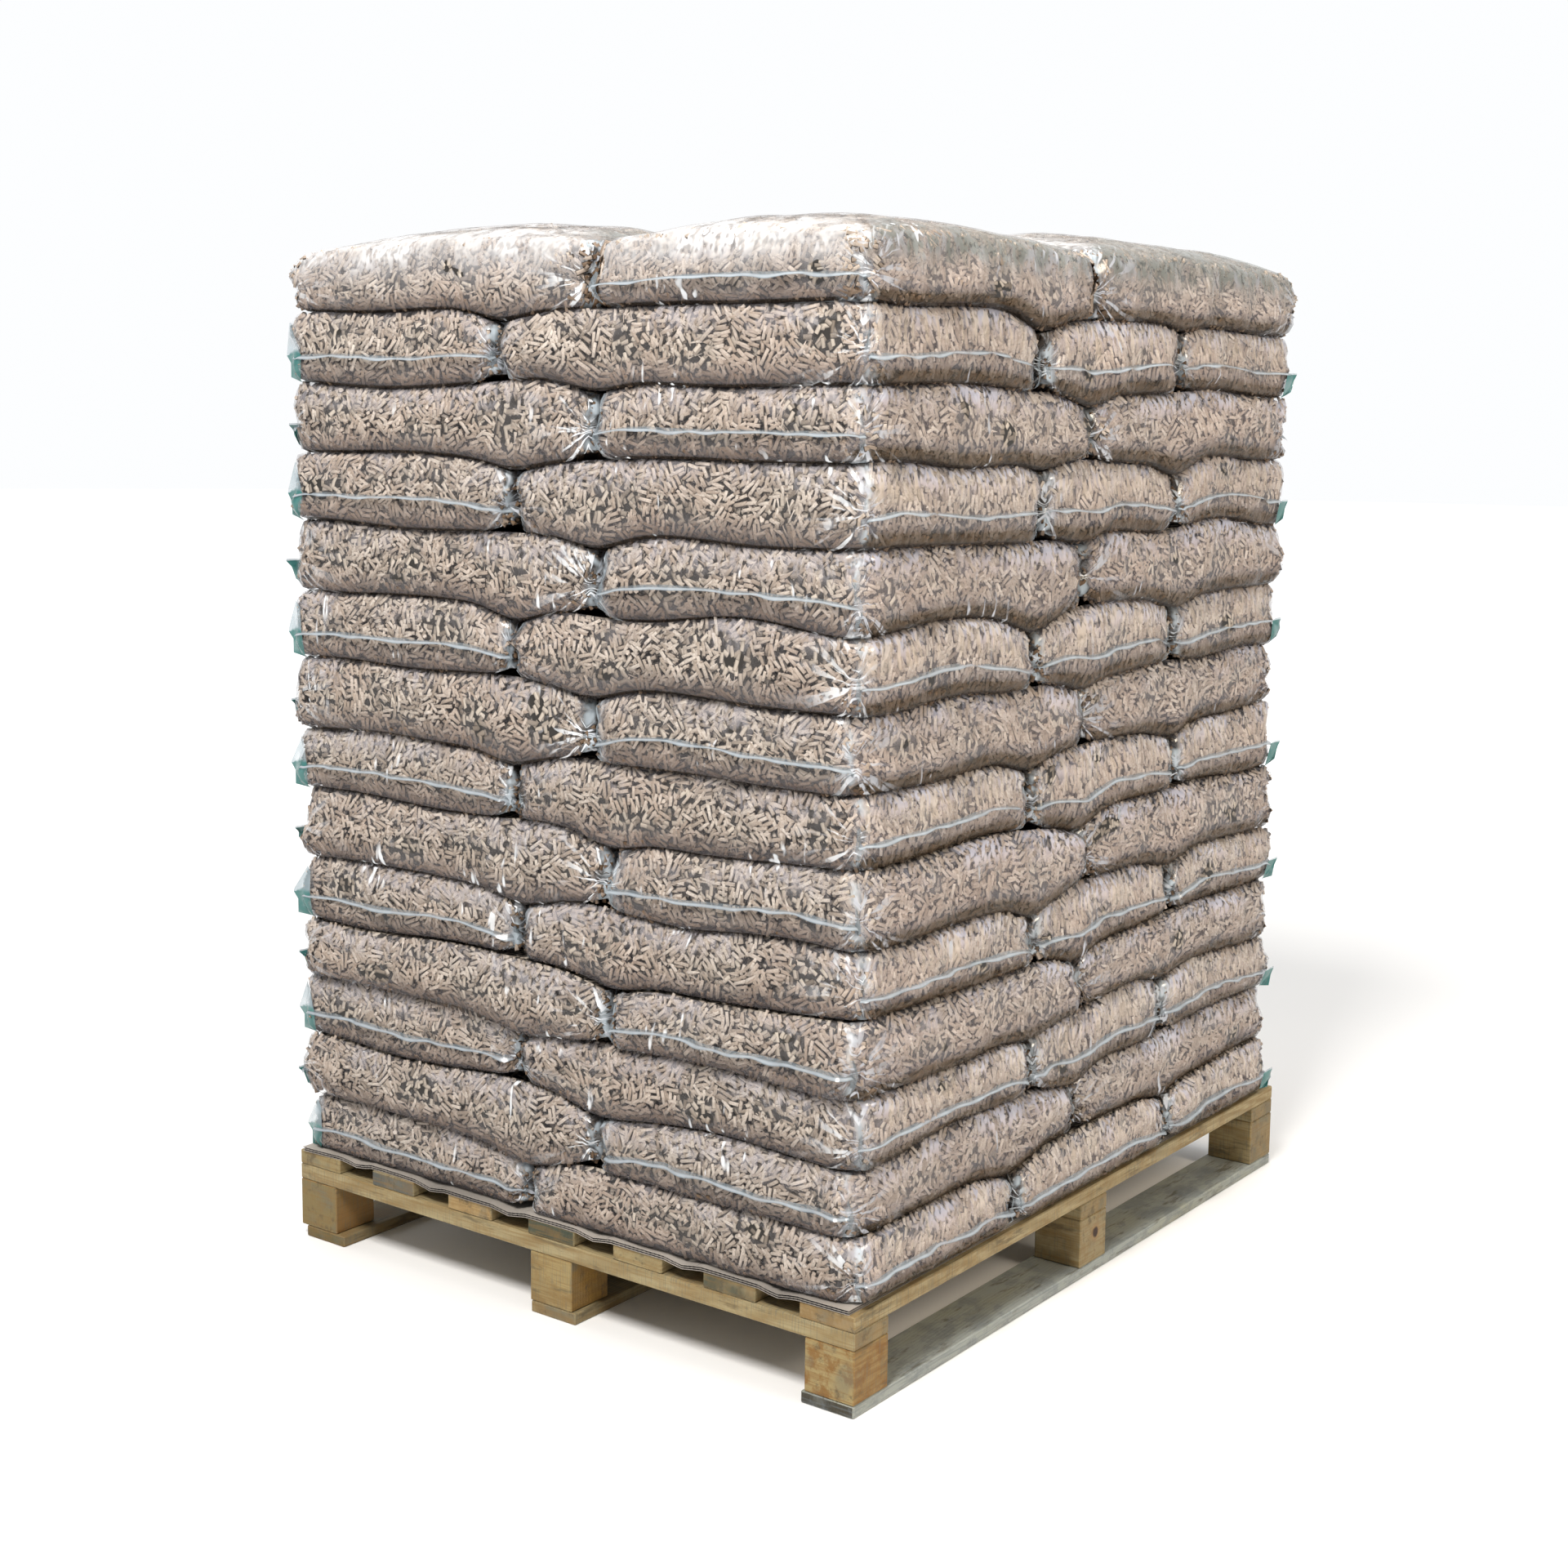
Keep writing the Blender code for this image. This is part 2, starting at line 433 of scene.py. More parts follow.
@dataclass
class Stack:
    """The fourteen layers, read from the frame's solids, and the levels where they meet."""

    long_share: float = 0.580
    contact_gap: float = 0.0004
    crown_height: float = 0.041
    far_crown: float = 1.22
    level_noise: float = 0.0045
    splits_off: tuple = (24, -3, 18, 15, 16, 12, 9, -6, 18, -1, 14, -7, -12, -10)
    halves_off: tuple = (-46, -40, -38, -36, -52, -52, -52)
    thirds_off: tuple = ((-19, 27), (20, 9), (23, 31), (17, 42), (20, 30), (29, 16), (15, 15))

    def __post_init__(self) -> None:
        """Reads each layer's box and lays its sacks."""
        self.boxes = [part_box(f"sack_layer_{i + 1:02d}") for i in range(LAYERS)]
        self.feet = [box[0].z for box in self.boxes]
        self.feet.append(self.boxes[-1][1].z - self.crown_height - 0.001)
        self.splits: list[list[Split]] = []
        self.sacks: list[list[Sack]] = []
        for layer in range(LAYERS):
            self.lay(layer)

    def lay(self, layer: int) -> None:
        """Lays the five sacks of a layer and notes where they meet.

        Args:
            layer: counted from the floor, 0 first.
        """
        low, high = self.boxes[layer]
        draw = np.random.default_rng(900 + layer)
        three_right = layer % 2 == 0
        share = self.long_share if three_right else 1 - self.long_share
        off = self.splits_off[layer] * MM
        split = high.x - share * (high.x - low.x) + off
        thirds = [low.y + (high.y - low.y) * part / 3 for part in range(4)]
        for i in (1, 2):
            thirds[i] += self.thirds_off[layer // 2][i - 1] * MM
        middle = (low.y + high.y) / 2 + self.halves_off[layer // 2] * MM
        span_three = (split, high.x) if three_right else (low.x, split)
        span_two = (low.x, split) if three_right else (split, high.x)
        outer_three = Side.HEAD if three_right else Side.FOOT
        outer_two = Side.LEFT if three_right else Side.RIGHT
        sacks = []
        for i in range(3):
            bare = [outer_three]
            if i == 0:
                bare.append(Side.RIGHT)
            if i == 2:
                bare.append(Side.LEFT)
            cell = (*span_three, thirds[i], thirds[i + 1])
            sacks.append(self.sack(layer, i, cell, Lie.ALONG_X, bare, draw))
        for i, (start, end) in enumerate(((low.y, middle), (middle, high.y))):
            bare = [outer_two, Side.FOOT if i == 0 else Side.HEAD]
            cell = (*span_two, start, end)
            sacks.append(self.sack(layer, 3 + i, cell, Lie.ALONG_Y, bare, draw))
        dips = draw.uniform(0.010, 0.021, size=4)
        lines = [Split(0, split, low.y, high.y, dips[0])]
        lines += [Split(1, thirds[i], *span_three, dips[i]) for i in (1, 2)]
        lines.append(Split(1, middle, *span_two, dips[3]))
        self.splits.append(lines)
        self.sacks.append(sacks)

    def sack(self, layer, number, cell, lie, bare, draw) -> Sack:
        """One sack in its cell, a little out of line on its outer sides."""
        low_x, high_x, low_y, high_y = cell
        low, high = self.boxes[layer]
        stray = draw.uniform(-0.004, 0.003, size=4)
        low_x -= stray[0] if abs(low_x - low.x) < MM else 0
        high_x += stray[1] if abs(high_x - high.x) < MM else 0
        low_y -= stray[2] if abs(low_y - low.y) < MM else 0
        high_y += stray[3] if abs(high_y - high.y) < MM else 0
        centre = ((low_x + high_x) / 2, (low_y + high_y) / 2)
        halves = ((high_x - low_x) / 2, (high_y - low_y) / 2)
        if lie is Lie.ALONG_Y:
            halves = halves[::-1]
        return Sack(self, layer, number, centre, *halves, lie, bare)

    def level(self, index: int, x: np.ndarray, y: np.ndarray) -> np.ndarray:
        """The height where layer index - 1 ends and layer index starts."""
        height = np.full(np.shape(x), self.feet[index])
        if index == 0:
            return height
        wave = Noise(70 + index, 0.42).at(x, y)
        height = height + self.level_noise * wave * (0.4 if index in (1, LAYERS) else 1.0)
        if index < LAYERS:
            for line in self.splits[index - 1]:
                height = height - line.sag(x, y)
        return height + (0.004 if index < LAYERS else 0)

    def levels(self, layer: int, x: np.ndarray, y: np.ndarray) -> tuple:
        """The lower and the upper level of a layer at each point."""
        low = self.level(layer, x, y) + self.contact_gap
        return low, self.level(layer + 1, x, y) - self.contact_gap

    def crown(self, sack: Sack, x: np.ndarray, y: np.ndarray) -> np.ndarray:
        """How far a sack of the top layer rises over its edge at each point."""
        far = sack.number == 4
        along = np.clip(1 - np.abs(x / sack.half_length) ** (5.0 if far else 2.4), 0, 1)
        across = np.clip(1 - np.abs(y / sack.half_width) ** 2.2, 0, 1)
        dome = (along * across) ** 0.62
        folds = 0.0022 * Noise(sack.seed + 80, 0.11).at(x * 0.6, y) * dome
        return self.crown_height * (self.far_crown if far else 1.0) * dome * 0.93 + folds


@dataclass(frozen=True)
class Drum:
    """The mesh of a sack before it takes its shape: a drum of quads with two round ends."""

    around: int
    up: int

    def mesh(self) -> bpy.types.Mesh:
        """A drum of radius 1 from -1 to 1, with its ends closed."""
        made = bmesh.new()
        bmesh.ops.create_cone(
            made, segments=self.around, cap_ends=True, radius1=1.0, radius2=1.0, depth=2.0
        )
        posts = [edge for edge in made.edges if abs(edge.verts[0].co.z - edge.verts[1].co.z) > 1]
        bmesh.ops.subdivide_edges(made, edges=posts, cuts=self.up - 1, use_grid_fill=True)
        mesh = bpy.data.meshes.new("drum")
        made.to_mesh(mesh)
        made.free()
        return mesh

    def places(self, mesh: bpy.types.Mesh) -> tuple[np.ndarray, np.ndarray]:
        """Each vertex's place round the drum, from 0 to 1, and up it, from 0 to 1."""
        spots = read_points(mesh)
        turn = np.arctan2(spots[:, 1], spots[:, 0]) / (2 * math.pi)
        around = np.round(turn * self.around) / self.around
        return np.mod(around, 1.0), np.round((spots[:, 2] + 1) / 2 * self.up) / self.up


def read_points(mesh: bpy.types.Mesh) -> np.ndarray:
    """A mesh's vertices as rows of X, Y and Z."""
    flat = np.empty(len(mesh.vertices) * 3)
    mesh.vertices.foreach_get("co", flat)
    return flat.reshape(-1, 3)


def write_points(mesh: bpy.types.Mesh, points: np.ndarray) -> None:
    """Moves a mesh's vertices to these points."""
    mesh.vertices.foreach_set("co", points.ravel())
    mesh.update()


def write_values(mesh: bpy.types.Mesh, name: str, values: np.ndarray) -> None:
    """Gives a mesh one number for each vertex."""
    layer = mesh.attributes.new(name, "FLOAT", "POINT")
    layer.data.foreach_set("value", values.astype(np.float32))


def write_vectors(mesh: bpy.types.Mesh, name: str, values: np.ndarray) -> None:
    """Gives a mesh three numbers for each vertex."""
    layer = mesh.attributes.new(name, "FLOAT_VECTOR", "POINT")
    layer.data.foreach_set("vector", values.astype(np.float32).ravel())


def join(meshes: list[bpy.types.Mesh], name: str) -> bpy.types.Mesh:
    """One mesh of several, in their order, and the several removed."""
    made = bmesh.new()
    for mesh in meshes:
        made.from_mesh(mesh)
    joined = bpy.data.meshes.new(name)
    made.to_mesh(joined)
    made.free()
    for mesh in meshes:
        bpy.data.meshes.remove(mesh)
    return joined


def add_piece(name: str, mesh: bpy.types.Mesh, finish: bpy.types.Material):
    """Makes an object of a mesh, with its finish, riding on the pallet.

    Args:
        name: the piece's name.
        mesh: its mesh, with its place in it.
        finish: its material.

    Returns:
        The object.
    """
    mesh.materials.clear()
    mesh.materials.append(finish)
    if not name.startswith("pellets"):
        mesh.shade_smooth()
    piece = bpy.data.objects.new(name, mesh)
    bpy.context.scene.collection.objects.link(piece)
    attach(piece, BODY)
    log.info("%s: %d faces", name, len(mesh.polygons))
    return piece


@dataclass
class Beds:
    """What fills each sack behind the pellets that touch its film."""

    stack: Stack
    around: int = 60
    up: int = 7
    sink: float = 0.0062

    def mesh(self, layer: int) -> bpy.types.Mesh:
        """The beds of a layer's five sacks, as one mesh."""
        drum = Drum(self.around, self.up if layer < LAYERS - 1 else 2 * self.up)
        beds = []
        unrolled = []
        for sack in self.stack.sacks[layer]:
            mesh = drum.mesh()
            around, up = drum.places(mesh)
            top = 1.0 if layer < LAYERS - 1 else top_turn(sack)
            walk = sack.hidden_walk() + around * sack.round_trip
            turn = -1 + up * (1 + top)
            write_points(mesh, sack.surface(walk, turn, self.sink))
            beds.append(mesh)
            arc = turn * sack.profile.half_length()
            unrolled.append(np.stack([walk, arc, np.full(walk.shape, 0.37 * sack.seed)], axis=-1))
        made = join(beds, f"sack_bed_{layer + 1:02d}")
        write_vectors(made, "unrolled", np.concatenate(unrolled))
        return made


def top_turn(sack: Sack) -> float:
    """The turn at which the upper face of a sack closes on its middle."""
    reach = min(sack.half_length, sack.half_width) - sack.profile.depth - 0.010
    return 1 + reach / sack.profile.half_length()


@dataclass
class Film:
    """The clear film of a layer's sacks where it shows."""

    stack: Stack
    step: float = 0.0145
    up: int = 11
    lap: float = 0.040
    lift: float = 0.0008
    pucker: float = 0.0022

    def strip(self, sack: Sack) -> tuple[bpy.types.Mesh, np.ndarray, np.ndarray]:
        """The strip of film round the bare sides of a sack.

        Args:
            sack: the sack.

        Returns:
            The mesh, and the walk and the turn of each vertex.
        """
        start, end = sack.bare_walk(self.lap)
        columns = max(2, round((end - start) / self.step))
        made = bmesh.new()
        bmesh.ops.create_grid(made, x_segments=columns, y_segments=self.up, size=1.0)
        mesh = bpy.data.meshes.new("strip")
        made.to_mesh(mesh)
        made.free()
        spots = read_points(mesh)
        walk = start + (spots[:, 0] + 1) / 2 * (end - start)
        return mesh, walk, spots[:, 1] * 0.995

    def whole(self, sack: Sack) -> tuple[bpy.types.Mesh, np.ndarray, np.ndarray]:
        """All the film of a sack of the top layer, with the same returns as strip."""
        drum = Drum(round(sack.round_trip / (1.3 * self.step)), 2 * self.up)
        mesh = drum.mesh()
        around, up = drum.places(mesh)
        return mesh, around * sack.round_trip, -1 + up * (1 + top_turn(sack))

    def mesh(self, layer: int) -> bpy.types.Mesh:
        """The film of a layer, with what its finish needs to draw haze, painted reflections, painted glints at
        creases and painted shade.
        """
        strips, haze, creases, edges, rises, pleats, joints = [], [], [], [], [], [], []
        for sack in self.stack.sacks[layer]:
            make = self.whole if layer == LAYERS - 1 else self.strip
            mesh, walk, turn = make(sack)
            gather, angle, reach = sack.gather(walk, turn)
            ridge = np.sin(angle * 17 + 1.3 * sack.number) * gather
            lift = self.lift + self.pucker * np.maximum(ridge, 0) * np.clip(1.2 - np.abs(turn), 0, 1)
            write_points(mesh, sack.surface(walk, turn, -lift))
            strips.append(mesh)
            haze.append(gather)
            pleats.append(sack.pleat(walk))
            creases.append(np.stack([angle, reach, walk + 3.1 * sack.seed], axis=-1))
            edges.append(sack.hem(walk) * np.clip(1.7 - turn, 0, 1))
            rises.append(turn)
            # joint marks where the film's finish paints shade: where the sack meets its neighbour.
            joints.append(sack.joint(walk, sack.joint_reach)[0] * np.clip(1.5 - turn, 0, 1))
        made = join(strips, f"sack_film_{layer + 1:02d}")
        write_values(made, "joint", np.concatenate(joints))
        write_values(made, "gather", np.concatenate(haze))
        write_values(made, "hem", np.concatenate(edges))
        write_values(made, "pleat", np.concatenate(pleats))
        write_values(made, "rise", np.concatenate(rises))
        write_vectors(made, "crease_glint", np.concatenate(creases))
        return made


@dataclass(frozen=True)
class PelletShape:
    """A wood pellet: a short rod of pressed sawdust, of which the outer half is modelled."""

    radius: float = 0.0034
    shortest: float = 0.0125
    longest: float = 0.0230
    facets: int = 2
    end_sides: int = 5

    def lying(self) -> tuple[np.ndarray, list]:
        """The outer half of a rod of length 2 along X, radius 1, as points and faces."""
        made = bmesh.new()
        bmesh.ops.create_circle(made, segments=2 * self.facets, radius=1.0, cap_ends=True)
        bmesh.ops.rotate(made, verts=made.verts, matrix=Matrix.Rotation(math.pi / 2, 3, "Y"))
        geometry = list(made.verts) + list(made.edges) + list(made.faces)
        cut = {"plane_co": (0, 0, 0.0), "plane_no": (0, 0, 1), "clear_inner": True}
        bmesh.ops.bisect_plane(made, geom=geometry, dist=0.0001, **cut)
        return self.drawn_out(made)

    def standing(self) -> tuple[np.ndarray, list]:
        """The outer end of a rod that points out of the sack."""
        made = bmesh.new()
        bmesh.ops.create_circle(made, segments=self.end_sides, radius=1.0, cap_ends=True)
        rim = list(made.edges)
        walls = bmesh.ops.extrude_edge_only(made, edges=rim)["geom"]
        for vert in walls:
            if isinstance(vert, bmesh.types.BMVert):
                vert.co.z -= 1.2
        return self.taken_out(made)

    def drawn_out(self, made: bmesh.types.BMesh) -> tuple[np.ndarray, list]:
        """Extrudes a flat end into a rod along X and takes its points and faces."""
        bmesh.ops.translate(made, verts=made.verts, vec=(-1, 0, 0))
        for vert in made.verts:
            vert.co.z = 1.25 * vert.co.z - 0.25
        ends = list(made.faces)
        moved = bmesh.ops.extrude_face_region(made, geom=ends, use_keep_orig=True)["geom"]
        shifted = [item for item in moved if isinstance(item, bmesh.types.BMVert)]
        bmesh.ops.translate(made, verts=shifted, vec=(2, 0, 0))
        under = [f for f in made.faces if all(v.co.z < -0.1 for v in f.verts)]
        bmesh.ops.delete(made, geom=under, context="FACES_ONLY")
        return self.taken_out(made)

    def taken_out(self, made: bmesh.types.BMesh) -> tuple[np.ndarray, list]:
        """A bmesh's points and faces, with the faces pointing away from the rod's middle."""
        made.verts.index_update()
        points = np.array([tuple(vert.co) for vert in made.verts])
        faces = []
        middle = points.mean(axis=0)
        for face in made.faces:
            row = [vert.index for vert in face.verts]
            out = face.calc_center_median() - Vector(middle)
            faces.append(row if face.normal.dot(out) > 0 else row[::-1])
        made.free()
        return points, faces


def wall_faces(points: np.ndarray, faces: list) -> list[bool]:
    """Which faces of a rod along X run along it, rather than close an end."""
    return [bool(np.ptp(points[face, 0]) > 0.1) for face in faces]


@dataclass
class Pellets:
    """The pellets that lie against the film, where they show."""

    stack: Stack
    shape: PelletShape = field(default_factory=PelletShape)
    room: float = 0.000074
    bundle: int = 3
    lap: float = 0.016
    reach: float = 0.90
    standing_share: float = 0.07
    jitter: float = 0.58
    pitch: float = 2.24
    second: float = 0.0024
    second_share: float = 0.36
    stray: float = 0.0016

    def places(self, sack: Sack) -> tuple:
        """Where pellets lie on a sack: small bundles side by side, over its bare film.

        Args:
            sack: the sack.

        Returns:
            The walk and the turn of each pellet, the angle it lies at, and its bundle's chance
            value from 0 to 1.
        """
        draw = np.random.default_rng(4000 + sack.seed)
        cell = math.sqrt(self.room * self.bundle)
        half = sack.profile.half_length()
        top_layer = sack.layer == LAYERS - 1
        start, end = (0, sack.round_trip) if top_layer else sack.bare_walk(self.lap)
        top = top_turn(sack) if top_layer else self.reach
        columns = round((end - start) / cell)
        rows = round((top + self.reach) * half / cell)
        grid_x, grid_y = np.meshgrid(np.arange(columns), np.arange(rows))
        count = grid_x.size
        grid_x = grid_x.ravel() + 0.5 + self.jitter * draw.uniform(-0.5, 0.5, count)
        grid_y = grid_y.ravel() + 0.5 + self.jitter * draw.uniform(-0.5, 0.5, count)
        spin = np.repeat(draw.uniform(0, math.pi, count), self.bundle)
        if sack.lie is Lie.ALONG_X and not top_layer:
            upright = math.pi / 2 + np.repeat(draw.normal(0, 0.40, count), self.bundle)
            on_end = sack.pleat(start + grid_x * (end - start) / columns)
            spin = np.where(np.repeat(on_end, self.bundle) > 0, upright, spin)
        chance = np.repeat(draw.uniform(0, 1, count), self.bundle)
        walk = np.repeat(start + grid_x * (end - start) / columns, self.bundle)
        arc = np.repeat(-self.reach * half + grid_y * (top + self.reach) * half / rows, self.bundle)
        place = np.tile(np.arange(self.bundle) - (self.bundle - 1) / 2, count)
        beside = place * self.pitch * self.shape.radius
        along = draw.uniform(-0.45, 0.45, walk.size) * self.shape.longest
        walk = walk + along * np.cos(spin) - beside * np.sin(spin)
        turn = (arc + along * np.sin(spin) + beside * np.cos(spin)) / half
        spin = spin + draw.normal(0, 0.10, walk.size)
        keep = (turn > -self.reach) & (turn < top)
        if top_layer:
            inset = np.clip(turn - 1, 0, None) * half + sack.profile.depth * (turn > 1)
            left = 1 - 4 * inset * 2 / sack.round_trip
            bare_start, bare_end = sack.bare_walk(self.lap)
            on_bare = np.mod(walk - bare_start, sack.round_trip) < bare_end - bare_start
            keep &= (draw.uniform(size=walk.size) < left) & (on_bare | (turn > 0.25))
        return walk[keep], turn[keep], spin[keep], chance[keep]

    def mesh(self, layer: int, which: list[Sack], name: str) -> bpy.types.Mesh:
        """The pellets of some sacks of a layer, joined, each with a tone of its own; those set further back and
        those near a neighbouring sack are painted darker as shade.
        """
        draw = np.random.default_rng(7000 + layer + 97 * which[0].number)
        spots, outs, ways, shades, rises = [], [], [], [], []
        for sack in which:
            walk, turn, spin, chance = self.places(sack)
            out = sack.normal(walk, turn)
            behind = chance < self.second_share
            depth = self.shape.radius * 1.12 + self.second * behind
            depth += self.stray * np.mod(chance * 7, 1) + draw.uniform(0, 0.0004, walk.size)
            forward = sack.forward(walk, turn)
            upward = np.cross(out, forward)
            ways.append(forward * np.cos(spin)[:, None] + upward * np.sin(spin)[:, None])
            outs.append(out)
            spots.append(sack.surface(walk, turn) - out * depth[:, None])
            # Pellets set further back are painted darker: painted shade.
            shades.append(draw.uniform(0.2, 1, walk.size) * np.where(behind, 0.84, 1.0))
            # Near where the sack meets its neighbour the rise is lowered, so that the painted shade of the lower
            # edge falls there too.
            joint = sack.joint(walk, sack.joint_reach)[0] * np.clip(1.5 - turn, 0, 1)
            rises.append(np.minimum(turn, 0.3 - 1.2 * joint))
        spots, outs, ways = np.concatenate(spots), np.concatenate(outs), np.concatenate(ways)
        shades, rises = np.concatenate(shades), np.concatenate(rises)
        stands = draw.uniform(size=len(spots)) < self.standing_share
        meshes, tones, rounds, heights = [], [], [], []
        for chosen, template in ((~stands, self.shape.lying()), (stands, self.shape.standing())):
            given = (spots[chosen], outs[chosen], ways[chosen])
            meshes.append(self.scatter(*given, template, draw, chosen is stands))
            tones.append(np.repeat(shades[chosen], len(template[0])))
            heights.append(np.repeat(rises[chosen], len(template[0])))
            # round is 1 on a pellet's upper points and 0 on its rim; the finish paints shade along the rim from it.
            top = template[0][:, 2] > (0.5 if chosen is not stands else -0.5)
            rounds.append(np.tile(top, np.count_nonzero(chosen)))
        made = join(meshes, name)
        write_values(made, "tone", np.concatenate(tones))
        write_values(made, "round", np.concatenate(rounds))
        write_values(made, "rise", np.concatenate(heights))
        return made

    def scatter(self, spots, outs, ways, template, draw, standing: bool) -> bpy.types.Mesh:
        """One pellet at each spot.

        Args:
            spots: where the pellets' middles are.
            outs: the way out of the sack there.
            ways: the way each pellet points.
            template: the points and faces of one pellet.
            draw: the source of chance.
            standing: whether the pellets point out of the sack.

        Returns:
            The mesh.
        """
        points, faces = template
        count = len(spots)
        lean = draw.normal(0, 0.36 if standing else 0.06, count)
        across = np.cross(outs, ways)
        tilted = ways * np.cos(lean)[:, None] + outs * np.sin(lean)[:, None]
        out = np.cross(tilted, across)
        reach = self.shape.radius * draw.uniform(0.92, 1.08, count)
        if standing:
            half = reach
        else:
            half = draw.uniform(self.shape.shortest, self.shape.longest, count) / 2
        body = (
            points[None, :, 0, None] * (tilted * half[:, None])[:, None, :]
            + points[None, :, 1, None] * (across * reach[:, None])[:, None, :]
            + points[None, :, 2, None] * (out * reach[:, None])[:, None, :]
        )
        body += spots[:, None, :]
        if standing:
            body += (outs * 0.7 * reach[:, None])[:, None, :]
        step = len(points)
        sizes = np.tile([len(face) for face in faces], count)
        corners = np.concatenate([np.array(face) for face in faces])
        corners = (corners[None, :] + np.arange(count)[:, None] * step).ravel()
        starts = np.concatenate(([0], np.cumsum(sizes)[:-1]))
        mesh = bpy.data.meshes.new("pellets")
        mesh.vertices.add(count * step)
        mesh.loops.add(len(corners))
        mesh.polygons.add(len(sizes))
        mesh.vertices.foreach_set("co", body.ravel())
        mesh.loops.foreach_set("vertex_index", corners)
        mesh.polygons.foreach_set("loop_start", starts)
        mesh.polygons.foreach_set("loop_total", sizes)
        mesh.update(calc_edges=True)
        longest = max(len(face) for face in faces)
        walls = [len(face) < longest for face in faces] if standing else wall_faces(points, faces)
        mesh.polygons.foreach_set("use_smooth", np.tile(walls, count))
        return mesh


@dataclass
class Seams:
    """The welded seams that stand out of the sacks' bare ends, with a flap at each corner."""

    stack: Stack
    columns: int = 56
    stand: float = 0.0066
    droop: float = 0.0060
    turn: float = -0.13
    wave: float = 0.034
    flap: tuple = (0.020, 0.007)
    inner_flap: float = 0.009
    flap_rise: float = 0.60
    ear_root: tuple = (0.026, 0.038)
    ear_reach: float = 0.025
    ear_taper: float = 0.42
    ear_drop: float = 0.038
    ear_rise: tuple = (0.044, 0.003)
    ear_lift: tuple = (0.0032, 0.0062)
    ear_back: tuple = (0.45, 0.90)
    tip_drop: tuple = (0.030, 0.026)

    def line(self, sack: Sack, share: np.ndarray) -> np.ndarray:
        """The seam's turn along an end, lower towards its two ends."""
        drift = Noise(sack.seed + 40, 0.9).at(share)
        ripple = Noise(sack.seed + 60, 0.22).at(share)
        ends = np.exp(-share / 0.07) + np.exp(-(1 - share) / 0.07)
        return self.turn + self.wave * drift + 0.004 * ripple - 0.10 * ends

    def fin(self, sack: Sack, side: Side) -> tuple[bpy.types.Mesh, np.ndarray]:
        """The fin of one end.

        Args:
            sack: the sack.
            side: its HEAD or its FOOT.

        Returns:
            The mesh, and how far out each vertex is, from 0 to 1.
        """
        made = bmesh.new()
        bmesh.ops.create_grid(made, x_segments=self.columns, y_segments=2, size=1.0)
        mesh = bpy.data.meshes.new("fin")
        made.to_mesh(mesh)
        made.free()
        spots = read_points(mesh)
        share = (spots[:, 0] + 1) / 2
        out = (spots[:, 1] + 1) / 2
        walk = sack.corners()[side.value] + 0.006 + share * (sack.length_of(side) - 0.012)
        base = sack.surface(walk, self.line(sack, share))
        normal = sack.normal(walk, np.full(walk.shape, -0.05))
        ripple = 1 + 0.14 * Noise(sack.seed + 90, 0.20).at(share)
        placed = base + normal * (out * self.stand * ripple + 0.0004)[:, None]
        placed[:, 2] -= self.droop * out**1.6 * ripple
        write_points(mesh, placed)
        return mesh, out

    def ear(self, sack: Sack, side: Side, at_end: bool) -> tuple[bpy.types.Mesh, np.ndarray]:
        """The flap of flat film where a seam runs off a corner, with the same returns as fin."""
        made = bmesh.new()
        bmesh.ops.create_grid(made, x_segments=5, y_segments=6, size=1.0)
        mesh = bpy.data.meshes.new("ear")
        made.to_mesh(mesh)
        made.free()
        spots = read_points(mesh)
        out = (spots[:, 0] + 1) / 2
        rise = spots[:, 1]
        loose = self.at_outline(sack, side, at_end)
        root = self.ear_root[int(sack.lie is Lie.ALONG_X)]
        inward = (root if loose else 0.010) * (-1 if at_end else 1)
        corner = sack.corners()[side.value] + (sack.length_of(side) if at_end else 0.0)
        share = np.full(out.shape, 1.0 if at_end else 0.0)
        turn = self.line(sack, share)
        if not loose:
            turn = turn + self.flap_rise * rise * (1 - 0.45 * out)
        if loose:
            return self.loose_ear(sack, mesh, out, rise, corner, inward, turn), 1.2 + 1.2 * (rise > 0.1)
        root = np.full(out.shape, corner + inward)
        base = sack.surface(root, turn)
        way = self.onwards(sack, root, inward, turn)
        flap = self.inner_flap * (1 + 0.25 * Noise(sack.seed + 7, 1.0).at(share + corner))
        flap = flap * (1 - 0.55 * np.abs(rise) ** 1.5)
        placed = base + way * (out * flap)[:, None]
        placed[:, 2] -= 0.003 * out**2
        return self.placed(mesh, placed), 0.35 * out

    def at_outline(self, sack: Sack, side: Side, at_end: bool) -> bool:
        """Whether one end of a seam is at an upright outline of the stack in the photo."""
        beside = Side.LEFT if (side is Side.HEAD) == at_end else Side.RIGHT
        return beside in sack.bare and sack.outer_radius() == sack.side_corner

    def bare_outline(self, sack: Sack, side: Side) -> bool:
        """Whether a seam shows no ear where it meets an outline: on the back and in the top layer."""
        return (sack.lie is Lie.ALONG_Y and side is Side.HEAD) or sack.layer == LAYERS - 1

    def onwards(self, sack: Sack, walk: np.ndarray, inward: float, turn: np.ndarray) -> np.ndarray:
        """Level unit vectors along an end at some points, on towards its corner."""
        way = (sack.surface(walk, turn) - sack.surface(walk + 3 * inward, turn)) * (1, 1, 0)
        return way / np.linalg.norm(way, axis=1, keepdims=True)

